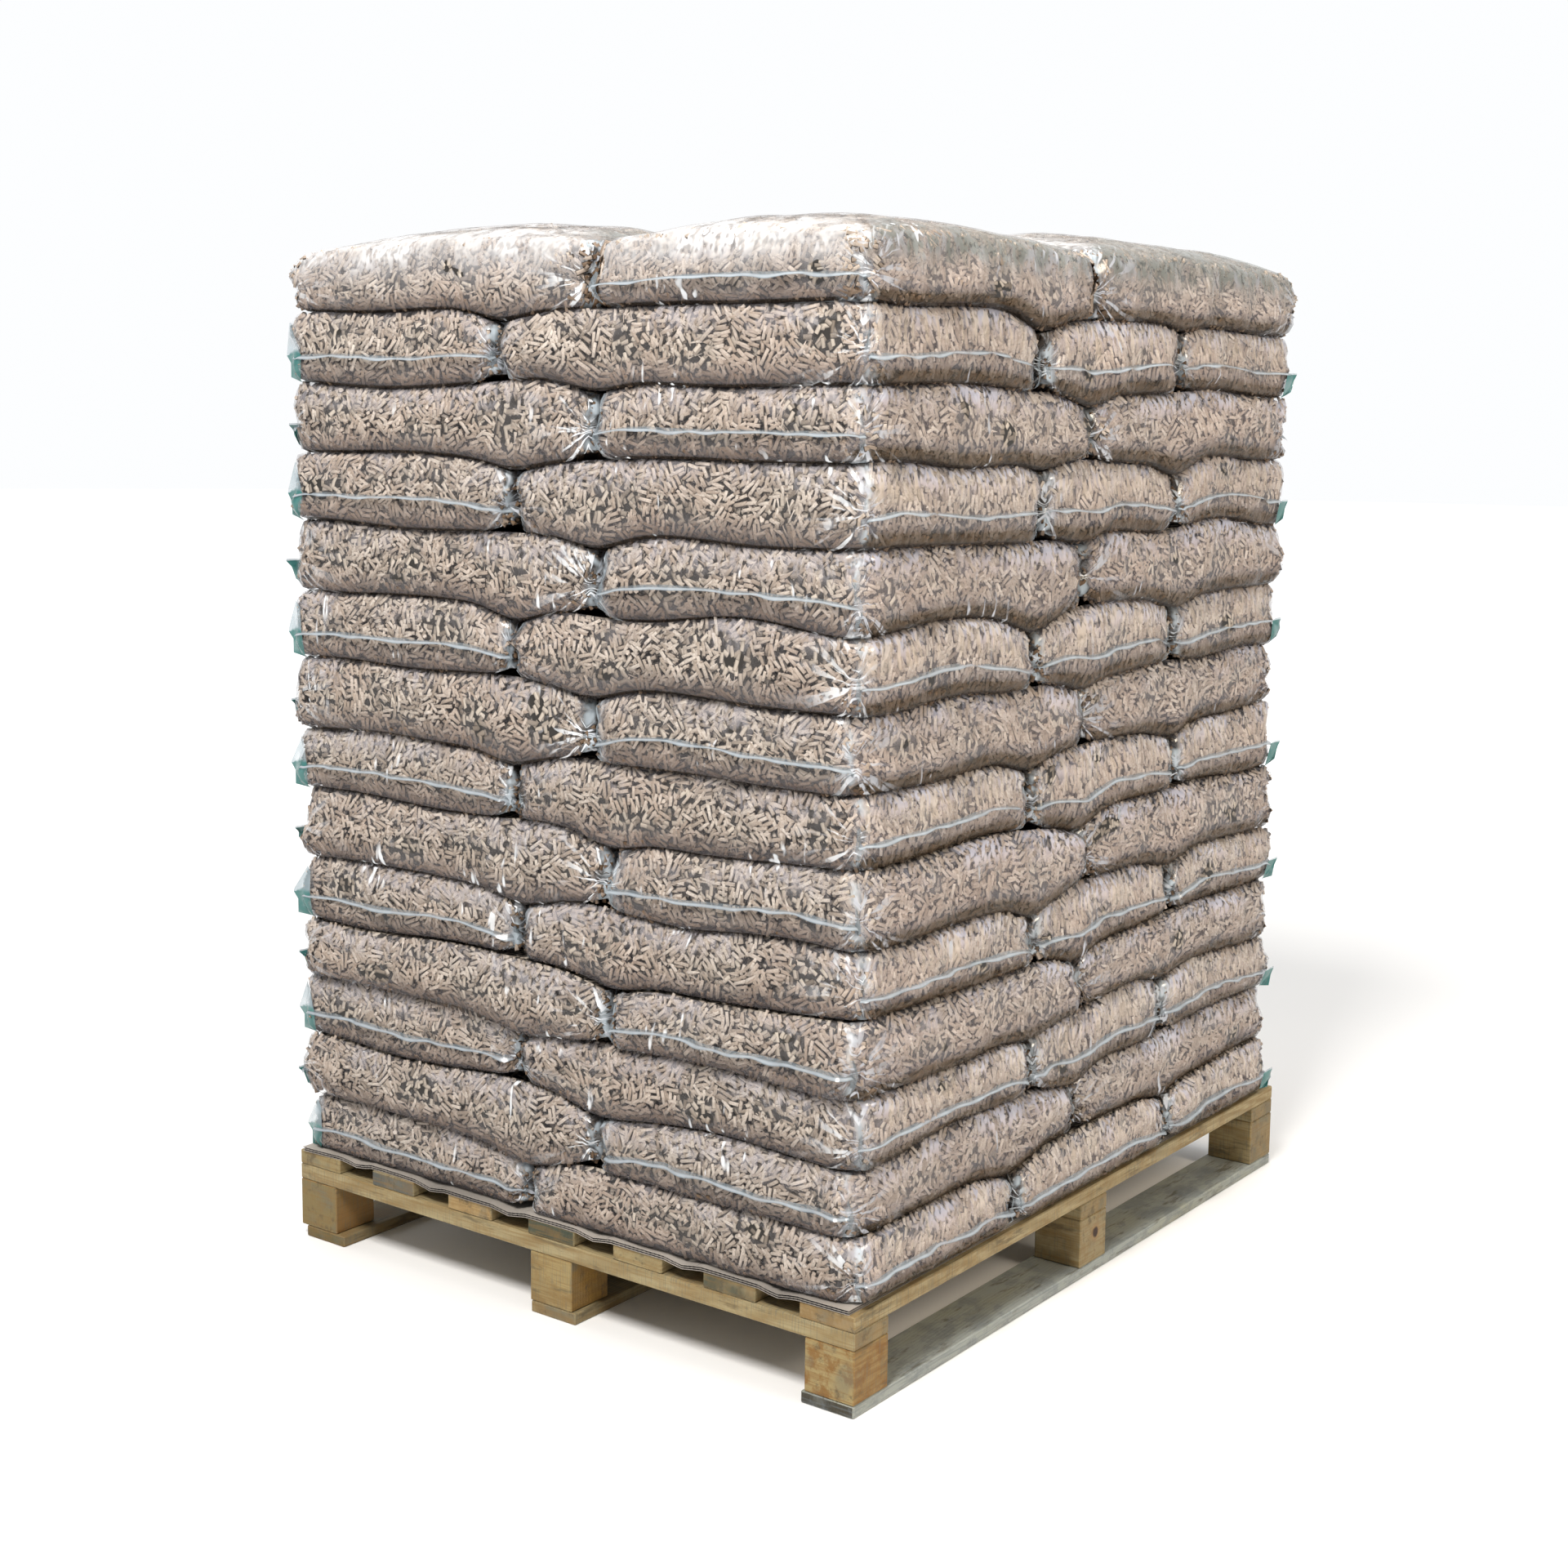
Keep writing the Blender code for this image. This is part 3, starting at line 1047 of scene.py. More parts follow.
    def loose_ear(self, sack, mesh, out, rise, corner, inward, turn) -> bpy.types.Mesh:
        """An ear at an outline of the stack: it clings to the sack up to the corner, then ends in a tip.

        Args:
            sack: the sack.
            mesh: the ear's flat mesh.
            out: how far along each vertex is, from 0 to 1.
            rise: how far up each vertex is, from -1 to 1.
            corner: the walk at the corner.
            inward: the step of walk from the corner to the ear's root.
            turn: the seam's turn.

        Returns:
            The mesh, with its vertices in place.
        """
        short = int(sack.lie is Lie.ALONG_X)
        low = np.clip(-rise, 0, 1)
        cling = np.minimum(out / 0.6, 1)
        past = np.clip(out / 0.4 - 1.5, 0, 1)[:, None]
        spread = np.where(rise > 0, self.ear_rise[short], self.ear_drop) * np.minimum(2.5 * cling, 1)
        spread = np.clip(turn + spread * rise / sack.profile.half_length(), -0.92, 0.92)
        walk = corner + inward * (1 - cling)
        root = np.full(out.shape, corner + inward)
        onwards = self.onwards(sack, root, inward, turn)
        if short:
            reach = self.ear_reach * (1 - self.ear_taper * low)
            run = onwards * (reach * cling)[:, None]
            clinging = sack.surface(root, spread) + sack.normal(root, turn) * self.ear_lift[1] + run
            tip = sack.surface(root, turn) + sack.normal(root, turn) * self.ear_lift[1]
            tip += onwards * reach[:, None]
        else:
            clinging = sack.surface(walk, spread) + sack.normal(walk, spread) * self.ear_lift[0]
            tip = sack.surface(np.full(out.shape, corner), turn)
        flap = self.flap[short] * (1 - self.ear_back[short] * np.minimum(3 * low, 1))
        tip += onwards * flap[:, None]
        tip[:, 2] += 0.003 * np.maximum(rise, 0) - self.tip_drop[short] * low
        return self.placed(mesh, clinging * (1 - past) + tip * past)

    def placed(self, mesh: bpy.types.Mesh, points: np.ndarray) -> bpy.types.Mesh:
        """The mesh, with its vertices at the points."""
        write_points(mesh, points)
        return mesh

    def mesh(self, layer: int) -> bpy.types.Mesh:
        """Every bare seam of a layer."""
        meshes, outs = [], []
        for sack in self.stack.sacks[layer]:
            for side in sack.bare:
                if side in (Side.LEFT, Side.RIGHT):
                    continue
                parts = [self.fin(sack, side)]
                for at_end in (False, True):
                    if not (self.at_outline(sack, side, at_end) and self.bare_outline(sack, side)):
                        parts.append(self.ear(sack, side, at_end))
                meshes += [mesh for mesh, _ in parts]
                outs += [out for _, out in parts]
        made = join(meshes, f"sack_seams_{layer + 1:02d}")
        write_values(made, "out", np.concatenate(outs))
        return made


@dataclass
class Nodes:
    """Builds the nodes of a material or a group, a call for each node."""

    tree: bpy.types.NodeTree

    def add(self, kind: str, **settings) -> bpy.types.Node:
        """A node of a kind, with its settings."""
        node = self.tree.nodes.new(kind)
        for name, value in settings.items():
            setattr(node, name, value)
        return node

    def put(self, socket: bpy.types.NodeSocket, value) -> None:
        """Links a socket to an input, or sets it to a plain value."""
        if isinstance(value, bpy.types.NodeSocket):
            self.tree.links.new(value, socket)
        else:
            socket.default_value = value

    def math(self, operation: str, a, b=0.0, clamp: bool = False) -> bpy.types.NodeSocket:
        """A sum of one or two numbers."""
        node = self.add("ShaderNodeMath", operation=operation, use_clamp=clamp)
        self.put(node.inputs[0], a)
        self.put(node.inputs[1], b)
        return node.outputs[0]

    def vector(self, operation: str, vector) -> bpy.types.NodeSocket:
        """A vector sum of one vector."""
        node = self.add("ShaderNodeVectorMath", operation=operation)
        self.put(node.inputs[0], vector)
        return node.outputs[0]

    def turn(self, vector, angle) -> bpy.types.NodeSocket:
        """A vector turned about Z."""
        node = self.add("ShaderNodeVectorRotate", rotation_type="Z_AXIS")
        self.put(node.inputs["Vector"], vector)
        self.put(node.inputs["Angle"], angle)
        return node.outputs[0]

    def spread(self, value, factors: tuple[float, float, float]) -> bpy.types.NodeSocket:
        """A vector of a number times each of three factors."""
        node = self.add("ShaderNodeVectorMath", operation="SCALE")
        node.inputs[0].default_value = factors
        self.put(node.inputs["Scale"], value)
        return node.outputs[0]

    def pick(self, factor, a, b) -> bpy.types.NodeSocket:
        """Two numbers mixed by a factor."""
        node = self.add("ShaderNodeMix", data_type="FLOAT")
        self.put(node.inputs["Factor"], factor)
        self.put(node.inputs["A"], a)
        self.put(node.inputs["B"], b)
        return node.outputs["Result"]

    def scale(self, vector, factors: tuple[float, float, float]) -> bpy.types.NodeSocket:
        """A vector with each part multiplied."""
        node = self.add("ShaderNodeVectorMath", operation="MULTIPLY")
        self.put(node.inputs[0], vector)
        node.inputs[1].default_value = factors
        return node.outputs[0]

    def shift(self, vector, by) -> bpy.types.NodeSocket:
        """A vector moved by another."""
        node = self.add("ShaderNodeVectorMath", operation="ADD")
        self.put(node.inputs[0], vector)
        self.put(node.inputs[1], by)
        return node.outputs[0]

    def noise(self, vector, scale: float, detail: float = 2.0, rough: float = 0.5):
        """Noise from 0 to 1."""
        node = self.add("ShaderNodeTexNoise")
        self.put(node.inputs["Vector"], vector)
        node.inputs["Scale"].default_value = scale
        node.inputs["Detail"].default_value = detail
        node.inputs["Roughness"].default_value = rough
        return node.outputs["Fac"]

    def span(self, value, low: float, high: float, start: float = 0.0, end: float = 1.0):
        """A number taken smoothly from one range to another, and held at its ends."""
        node = self.add("ShaderNodeMapRange", interpolation_type="SMOOTHSTEP")
        self.put(node.inputs["Value"], value)
        node.inputs["From Min"].default_value = low
        node.inputs["From Max"].default_value = high
        node.inputs["To Min"].default_value = start
        node.inputs["To Max"].default_value = end
        return node.outputs["Result"]

    def blend(self, factor, a, b, mode: str = "MIX") -> bpy.types.NodeSocket:
        """Two colours mixed by a factor."""
        node = self.add("ShaderNodeMix", data_type="RGBA", blend_type=mode)
        self.put(node.inputs["Factor"], factor)
        self.put(node.inputs["A"], tinted(a))
        self.put(node.inputs["B"], tinted(b))
        return node.outputs["Result"]

    def ramp(self, factor, *stops: tuple[float, tuple]) -> bpy.types.NodeSocket:
        """A colour for each value of a factor."""
        node = self.add("ShaderNodeValToRGB")
        self.put(node.inputs["Fac"], factor)
        elements = node.color_ramp.elements
        while len(elements) < len(stops):
            elements.new(0.5)
        for element, (place, colour) in zip(elements, stops):
            element.position = place
            element.color = tinted(colour)
        return node.outputs["Color"]

    def attribute(self, name: str, output: str = "Fac") -> bpy.types.NodeSocket:
        """A value that the mesh carries."""
        return self.add("ShaderNodeAttribute", attribute_name=name).outputs[output]

    def object_place(self) -> bpy.types.NodeSocket:
        """The place on the object, in metres."""
        return self.add("ShaderNodeTexCoord").outputs["Object"]

    def normal_parts(self) -> bpy.types.Node:
        """The surface's normal, split into X, Y and Z."""
        node = self.add("ShaderNodeSeparateXYZ")
        self.put(node.inputs[0], self.add("ShaderNodeTexCoord").outputs["Normal"])
        return node

    def bump(self, height, strength: float, distance: float) -> bpy.types.NodeSocket:
        """A normal from a height."""
        node = self.add("ShaderNodeBump")
        self.put(node.inputs["Height"], height)
        node.inputs["Strength"].default_value = strength
        node.inputs["Distance"].default_value = distance
        return node.outputs["Normal"]


def tinted(colour):
    """A colour of three numbers with an alpha of 1, and anything else as it is."""
    return (*colour, 1.0) if isinstance(colour, tuple) and len(colour) == 3 else colour


def new_material(name: str) -> tuple[bpy.types.Material, Nodes, bpy.types.Node]:
    """An empty Principled material.

    Args:
        name: the material's name.

    Returns:
        The material, its node builder and its shader.
    """
    made = bpy.data.materials.new(name)
    made.use_nodes = True
    return made, Nodes(made.node_tree), made.node_tree.nodes["Principled BSDF"]


@dataclass(frozen=True)
class PelletFinish:
    """Pressed sawdust under film: pale tan, each pellet its own tone, with a slight gloss; painted shade darkens
    each pellet's rim and the pellets towards a sack's lower edge.
    """

    dark: tuple = (0.150, 0.122, 0.095)
    middle: tuple = (0.350, 0.290, 0.235)
    pale: tuple = (0.595, 0.528, 0.464)
    rosy: tuple = (0.390, 0.285, 0.220)
    # side: the colour of the painted shade along a pellet's rim.
    side: tuple = (0.018, 0.013, 0.010)

    def material(self) -> bpy.types.Material:
        """The material."""
        made, nodes, shader = new_material("wood_pellets")
        place = nodes.object_place()
        tone = nodes.attribute("tone")
        colour = nodes.ramp(tone, (0.0, self.dark), (0.35, self.middle), (1.0, self.pale))
        mottle = nodes.noise(place, 420.0, 1.0)
        colour = nodes.blend(nodes.span(mottle, 0.35, 0.7, 0.0, 0.35), colour, self.dark)
        patch = nodes.noise(place, 5.0, 1.0)
        warm = nodes.span(patch, 0.35, 0.65, 0.0, 0.30)
        colour = nodes.blend(warm, colour, self.rosy)
        # Painted shade: each pellet darkens from its ridge towards its rim, as if round and lit from outside.
        side = nodes.span(nodes.attribute("round"), 0.46, 0.16, 0.0, 0.96)
        colour = nodes.blend(side, colour, self.side)
        # Painted shade towards the sack's lower edge.
        colour = under_shade(nodes, nodes.attribute("rise"), colour)
        nodes.put(shader.inputs["Base Color"], colour)
        nodes.put(shader.inputs["Normal"], nodes.bump(mottle, 0.25, 0.0006))
        shader.inputs["Roughness"].default_value = 0.55
        shader.inputs["Specular IOR Level"].default_value = 0.25
        return made


def under_shade(nodes: Nodes, rise, colour) -> bpy.types.NodeSocket:
    """Darkens a sack's filling towards its lower edge with painted shade.

    Args:
        nodes: the material's node builder.
        rise: the place on the sack's profile, from -1 to 1.
        colour: the filling's own colour.

    Returns:
        The darker colour.
    """
    amount = nodes.math("POWER", nodes.span(rise, 0.0, -0.95), 1.3)
    return nodes.blend(amount, colour, PAINTED_UNDER_SHADE, "MULTIPLY")


def rod_group() -> bpy.types.NodeTree:
    """One layer of a heap of rods, one in each cell of a turned grid, as a node group.

    Returns:
        A group that lays its rods over the height, tone and roundness of the layers under it.
    """
    group = bpy.data.node_groups.new("layer_of_rods", "ShaderNodeTree")
    group.interface.new_socket("Place", in_out="INPUT", socket_type="NodeSocketVector")
    inputs = ("Turn", "Lift", "Radius", "Height", "Tone", "Round")
    for name in inputs:
        group.interface.new_socket(name, in_out="INPUT", socket_type="NodeSocketFloat")
    for name in inputs[3:]:
        group.interface.new_socket(name, in_out="OUTPUT", socket_type="NodeSocketFloat")
    nodes = Nodes(group)
    given = nodes.add("NodeGroupInput")
    result = nodes.add("NodeGroupOutput")
    grid = nodes.turn(given.outputs["Place"], given.outputs["Turn"])
    grid = nodes.shift(grid, nodes.spread(given.outputs["Turn"], (7.31, 3.17, 0.0)))
    cell = nodes.vector("FLOOR", grid)
    chance = nodes.add("ShaderNodeTexWhiteNoise", noise_dimensions="3D")
    nodes.put(chance.inputs["Vector"], cell)
    draws = nodes.add("ShaderNodeSeparateColor")
    nodes.put(draws.inputs[0], chance.outputs["Color"])
    local = nodes.shift(nodes.vector("FRACTION", grid), (-0.5, -0.5, 0.0))
    local = nodes.turn(local, nodes.math("MULTIPLY", draws.outputs["Red"], math.pi))
    parts = nodes.add("ShaderNodeSeparateXYZ")
    nodes.put(parts.inputs[0], local)
    half = nodes.math("ADD", nodes.math("MULTIPLY", draws.outputs["Green"], 0.20), 0.29)
    left = nodes.math("SUBTRACT", half, nodes.math("ABSOLUTE", parts.outputs["X"]))
    share = nodes.math("DIVIDE", parts.outputs["Y"], given.outputs["Radius"])
    bow = nodes.math("SUBTRACT", 1.0, nodes.math("MULTIPLY", share, share), clamp=True)
    end = nodes.span(left, 0.0, 0.045)
    bow = nodes.math("MULTIPLY", nodes.math("SQRT", bow), end)
    inside = nodes.math("GREATER_THAN", bow, 0.0)
    lift = nodes.math("ADD", given.outputs["Lift"], nodes.math("MULTIPLY", draws.outputs["Blue"], 0.10))
    height = nodes.math("ADD", lift, nodes.math("MULTIPLY", bow, given.outputs["Radius"]))
    height = nodes.math("MULTIPLY", height, inside)
    over = nodes.math("GREATER_THAN", height, given.outputs["Height"])
    nodes.put(result.inputs["Height"], nodes.math("MAXIMUM", height, given.outputs["Height"]))
    nodes.put(result.inputs["Tone"], nodes.pick(over, given.outputs["Tone"], chance.outputs["Value"]))
    nodes.put(result.inputs["Round"], nodes.pick(over, given.outputs["Round"], bow))
    return group


@dataclass(frozen=True)
class BedFinish:
    """The pellets behind the first ones: a heap of the same rods, laid in three layers, with painted shade in the
    gaps at their edges and on the deeper rods.
    """

    gap_shade: tuple = (0.016, 0.013, 0.010)
    dark: tuple = (0.150, 0.120, 0.093)
    pale: tuple = (0.520, 0.450, 0.375)
    cell: float = 0.0170
    radius: float = 0.0034
    layers: int = 3

    def material(self) -> bpy.types.Material:
        """The material."""
        made, nodes, shader = new_material("pellet_bed")
        group = rod_group()
        top = nodes.math("GREATER_THAN", nodes.normal_parts().outputs["Z"], 0.72)
        place = nodes.add("ShaderNodeMix", data_type="VECTOR")
        nodes.put(place.inputs["Factor"], top)
        nodes.put(place.inputs[4], nodes.attribute("unrolled", "Vector"))
        nodes.put(place.inputs[5], nodes.scale(nodes.object_place(), (1.0, 1.0, 0.0)))
        grid = nodes.scale(place.outputs[1], (1 / self.cell, 1 / self.cell, 1 / self.cell))
        height, tone, bow = 0.0, 0.0, 0.0
        for number in range(self.layers):
            rods = nodes.add("ShaderNodeGroup", node_tree=group)
            nodes.put(rods.inputs["Place"], grid)
            rods.inputs["Turn"].default_value = 0.4 + 1.13 * number
            rods.inputs["Lift"].default_value = 0.05 + 0.11 * number
            rods.inputs["Radius"].default_value = self.radius / self.cell
            for name, value in (("Height", height), ("Tone", tone), ("Round", bow)):
                nodes.put(rods.inputs[name], value)
            height, tone, bow = (rods.outputs[name] for name in ("Height", "Tone", "Round"))
        # Painted shade: the gaps at the rods' edges and the deeper rods are darkened towards the gap colour.
        body = nodes.blend(tone, self.dark, self.pale)
        deep = nodes.span(height, 0.05, 0.42, 0.65, 1.0)
        shade = nodes.math("MULTIPLY", nodes.span(bow, 0.1, 0.85), deep)
        body = nodes.blend(shade, self.gap_shade, body)
        # The bed also takes the painted shade towards each sack's lower edge.
        arc = nodes.add("ShaderNodeSeparateXYZ")
        nodes.put(arc.inputs[0], nodes.attribute("unrolled", "Vector"))
        rise = nodes.math("DIVIDE", arc.outputs["Y"], Profile().half_length())
        nodes.put(shader.inputs["Base Color"], under_shade(nodes, rise, body))
        nodes.put(shader.inputs["Normal"], nodes.bump(height, 0.9, self.cell))
        shader.inputs["Roughness"].default_value = 0.6
        return made


@dataclass(frozen=True)
class FilmFinish:
    """Clear film: faint over the middle of a sack, a haze and a painted sky reflection over its upper edge, painted
    white glints at creases, a painted sheen on the top layer, painted warm light and painted shade on its sides.
    """

    front_haze_reflection: tuple = (0.540, 0.505, 0.530)
    right_haze_reflection: tuple = (0.470, 0.475, 0.570)
    crease_glint: tuple = (0.900, 0.930, 0.960)
    hem: tuple = (0.560, 0.640, 0.700)
    shade: tuple = (0.055, 0.038, 0.022)
    gap_shade: tuple = (0.020, 0.015, 0.012)
    painted_sheen: tuple = (0.800, 0.790, 0.795)
    far_painted_sheen: tuple = (0.165, 0.172, 0.156)
    far_crease_glint: tuple = (0.460, 0.480, 0.530)
    pleat: tuple = (0.520, 0.430, 0.320)
    painted_sun: tuple = (0.640, 0.430, 0.270)
    sheen_from: float = 1.352
    sheen_to: float = 1.465
    clearest: float = 0.04

    def material(self) -> bpy.types.Material:
        """The material."""
        made, nodes, shader = new_material("clear_film")
        place = nodes.object_place()
        rise = nodes.attribute("rise")
        # The film's own colour: a haze, bluer on the right side as a painted sky reflection.
        right = nodes.span(nodes.normal_parts().outputs["X"], 0.3, 0.9)
        colour = nodes.blend(right, self.front_haze_reflection, self.right_haze_reflection)
        alpha = self.clearest
        for tint, part in self.parts(nodes, place, rise, right):
            if tint:
                colour = nodes.blend(nodes.math("MULTIPLY", part, 2.6, clamp=True), colour, tint)
            alpha = nodes.math("ADD", alpha, part)
        nodes.put(shader.inputs["Base Color"], colour)
        nodes.put(shader.inputs["Alpha"], nodes.math("MINIMUM", alpha, 0.88))
        relief = nodes.noise(nodes.scale(place, (60.0, 60.0, 26.0)), 1.0, 1.0)
        nodes.put(shader.inputs["Normal"], nodes.bump(relief, 0.5, 0.004))
        shader.inputs["Roughness"].default_value = 0.18
        nodes.put(shader.inputs["Specular IOR Level"], nodes.span(rise, -0.35, 0.25, 0.10, 0.90))
        return made

    def parts(self, nodes: Nodes, place, rise, right) -> list[tuple]:
        """What clouds the film, with the painted light and shade on it.

        Args:
            nodes: the material's node builder.
            place: the place on the object.
            rise: the place on the sack's profile, from -1 to 1 and past it over the top.
            right: how far the film faces the pallet's right side, from 0 to 1.

        Returns:
            Pairs of a tint, or None for the film's own, and how much it hides what is under it.
        """
        cloud = nodes.noise(place, 11.0, 1.0)
        fine = nodes.noise(nodes.scale(place, (120.0, 120.0, 70.0)), 1.0, 1.0)
        broken = nodes.span(fine, 0.40, 0.58, 0.05, 1.0)
        # Haze and painted sky reflection over each sack's upper part, which faces the sky, stronger on the right
        # side.
        high = nodes.math("MULTIPLY", nodes.span(rise, 0.05, 0.60), nodes.span(rise, 1.05, 0.75, 0.55, 1.0))
        haze_reflection = nodes.math("MULTIPLY", high, nodes.span(cloud, 0.38, 0.62, 0.15, 1.0))
        haze_reflection = nodes.math("MULTIPLY", nodes.math("MULTIPLY", haze_reflection, broken), nodes.pick(right, 0.36, 0.70))
        threads = nodes.noise(nodes.scale(place, (120.0, 120.0, 7.0)), 1.0, 0.0)
        band = nodes.math("MULTIPLY", nodes.span(rise, -0.12, 0.15), nodes.span(rise, 0.95, 0.70))
        band = nodes.math("MULTIPLY", band, nodes.attribute("pleat"))
        threads = nodes.math("MULTIPLY", nodes.span(threads, 0.46, 0.66), band)
        threads = nodes.math("MULTIPLY", threads, nodes.pick(right, 0.06, 0.27))
        # Painted shade over each sack's lower part, stronger on the right side.
        low = nodes.math("MULTIPLY", nodes.span(rise, -0.20, -0.80), nodes.pick(right, 0.14, 0.54))
        # Painted white glints along the creases that radiate from the gathered corners, and in patches of folds.
        rays = nodes.noise(nodes.scale(nodes.attribute("crease_glint", "Vector"), (6.5, 12.0, 0.7)), 1.0, 2.0)
        rays = nodes.math("MULTIPLY", nodes.span(rays, 0.53, 0.62), nodes.attribute("gather"))
        rays = nodes.math("MULTIPLY", rays, nodes.span(fine, 0.32, 0.52, 0.25, 1.0))
        folds = nodes.noise(nodes.scale(place, (90.0, 90.0, 20.0)), 1.0, 1.0)
        folds = nodes.math("MULTIPLY", nodes.span(folds, 0.62, 0.72), nodes.span(cloud, 0.58, 0.70))
        hem = nodes.span(nodes.noise(place, 55.0, 1.0), 0.38, 0.62, 0.02, 0.34)
        height = nodes.add("ShaderNodeSeparateXYZ")
        nodes.put(height.inputs[0], place)
        # Painted sheen over the top layer: white on the sides facing the front and left, grey on the far sides,
        # less where the film lies level.
        painted_sheen = nodes.span(height.outputs["Z"], self.sheen_from, self.sheen_to)
        creased = nodes.noise(nodes.scale(place, (34.0, 34.0, 12.0)), 1.0, 2.0)
        painted_sheen = nodes.math("MULTIPLY", painted_sheen, nodes.span(creased, 0.38, 0.60, 0.55, 1.0))
        painted_sheen = nodes.math("MULTIPLY", painted_sheen, nodes.span(fine, 0.30, 0.60, 0.78, 1.0))
        facing = nodes.normal_parts()
        far = nodes.span(nodes.math("ADD", facing.outputs["X"], facing.outputs["Y"]), -0.16, 0.16)
        level = nodes.span(facing.outputs["Z"], 0.955, 0.992, 1.0, 0.34)
        painted_sheen = nodes.math("MULTIPLY", nodes.math("MULTIPLY", painted_sheen, level), nodes.pick(far, 0.64, 0.74))
        sheen_colour = nodes.blend(far, self.painted_sheen, self.far_painted_sheen)
        # The painted glints are dimmer on the right side.
        crease_glint = nodes.blend(right, self.crease_glint, self.far_crease_glint)
        # Painted warm light across the middle of the right side.
        painted_sun = nodes.math("MULTIPLY", nodes.span(rise, -0.60, -0.20), nodes.span(rise, 0.75, 0.35))
        painted_sun = nodes.math("MULTIPLY", nodes.math("MULTIPLY", painted_sun, right), 0.13)
        return [
            (self.painted_sun, painted_sun),
            (sheen_colour, painted_sheen),
            (None, haze_reflection),
            (self.pleat, threads),
            (self.shade, low),
            # Painted shade: dark where a sack meets its neighbour and in a line along each sack's lower edge.
            (self.gap_shade, nodes.math("MULTIPLY", nodes.attribute("joint"), 0.62)),
            (self.gap_shade, nodes.span(rise, -0.76, -0.95, 0.0, 0.66)),
            (self.hem, nodes.math("MULTIPLY", nodes.attribute("hem"), hem)),
            (crease_glint, nodes.math("MULTIPLY", folds, 0.55)),
            (crease_glint, nodes.math("MULTIPLY", rays, 0.72)),
        ]


@dataclass(frozen=True)
class SeamFinish:
    """A welded fin of film, seen edge on: pale blue, with a whiter line along the weld."""

    fin: tuple = (0.190, 0.225, 0.250)
    weld: tuple = (0.330, 0.370, 0.405)
    ear: tuple = (0.040, 0.150, 0.142)
    ear_top: tuple = (0.270, 0.350, 0.390)

    def material(self) -> bpy.types.Material:
        """The material."""
        made, nodes, shader = new_material("welded_seam")
        out = nodes.attribute("out")
        weld = nodes.span(nodes.math("ABSOLUTE", nodes.math("SUBTRACT", out, 0.75)), 0.30, 0.05)
        colour = nodes.blend(weld, self.fin, self.weld)
        ear = nodes.math("GREATER_THAN", out, 1.1)
        upper = nodes.span(out, 1.4, 2.2)
        colour = nodes.blend(ear, colour, nodes.blend(upper, self.ear, self.ear_top))
        nodes.put(shader.inputs["Base Color"], colour)
        patch = nodes.noise(nodes.object_place(), 40.0, 2.0)
        clear = nodes.math("ADD", nodes.math("MULTIPLY", weld, 0.35), nodes.span(patch, 0.3, 0.7, 0.25, 0.5))
        more = nodes.math("SUBTRACT", nodes.pick(ear, 0.15, 0.62), nodes.math("MULTIPLY", upper, 0.42))
        nodes.put(shader.inputs["Alpha"], nodes.math("ADD", clear, more))
        shader.inputs["Roughness"].default_value = 0.2
        return made


def pine_group() -> bpy.types.NodeTree:
    """The grain of sawn pine as a node group.

    Returns:
        A group that takes a place in the board, X along the grain, and gives the year rings, the
        fine grain, stains and a height.
    """
    group = bpy.data.node_groups.new("pine_grain", "ShaderNodeTree")
    group.interface.new_socket("Place", in_out="INPUT", socket_type="NodeSocketVector")
    group.interface.new_socket("Pith", in_out="INPUT", socket_type="NodeSocketVector")
    for name in ("Rings", "Fine", "Stain", "Height"):
        group.interface.new_socket(name, in_out="OUTPUT", socket_type="NodeSocketFloat")
    nodes = Nodes(group)
    given = nodes.add("NodeGroupInput")
    result = nodes.add("NodeGroupOutput")
    place = nodes.shift(given.outputs["Place"], given.outputs["Pith"])
    warp = nodes.add("ShaderNodeTexNoise")
    nodes.put(warp.inputs["Vector"], nodes.scale(place, (1.6, 7.0, 7.0)))
    warp.inputs["Scale"].default_value = 1.0
    pushed = nodes.shift(place, nodes.scale(warp.outputs["Color"], (0.0, 0.030, 0.030)))
    parts = nodes.add("ShaderNodeSeparateXYZ")
    nodes.put(parts.inputs[0], pushed)
    slope = nodes.math("ADD", parts.outputs["Y"], nodes.math("MULTIPLY", parts.outputs["X"], 0.04))
    reach = nodes.math("SQRT", nodes.math("ADD", nodes.math("MULTIPLY", slope, slope), nodes.math("MULTIPLY", parts.outputs["Z"], parts.outputs["Z"])))
    wave = nodes.math("SINE", nodes.math("MULTIPLY", reach, 1150.0))
    rings = nodes.span(wave, -0.6, 1.0)
    fine = nodes.noise(nodes.scale(place, (14.0, 520.0, 520.0)), 1.0, 3.0, 0.6)
    stain = nodes.noise(nodes.scale(place, (3.5, 15.0, 15.0)), 1.0, 4.0, 0.6)
    height = nodes.math("ADD", nodes.math("MULTIPLY", rings, 0.3), fine)
    for name, value in (("Rings", rings), ("Fine", fine), ("Stain", stain), ("Height", height)):
        nodes.put(result.inputs[name], value)
    return group


class Grain(Enum):
    """Which way a board's grain runs."""

    ALONG_X = 0
    ALONG_Y = 1


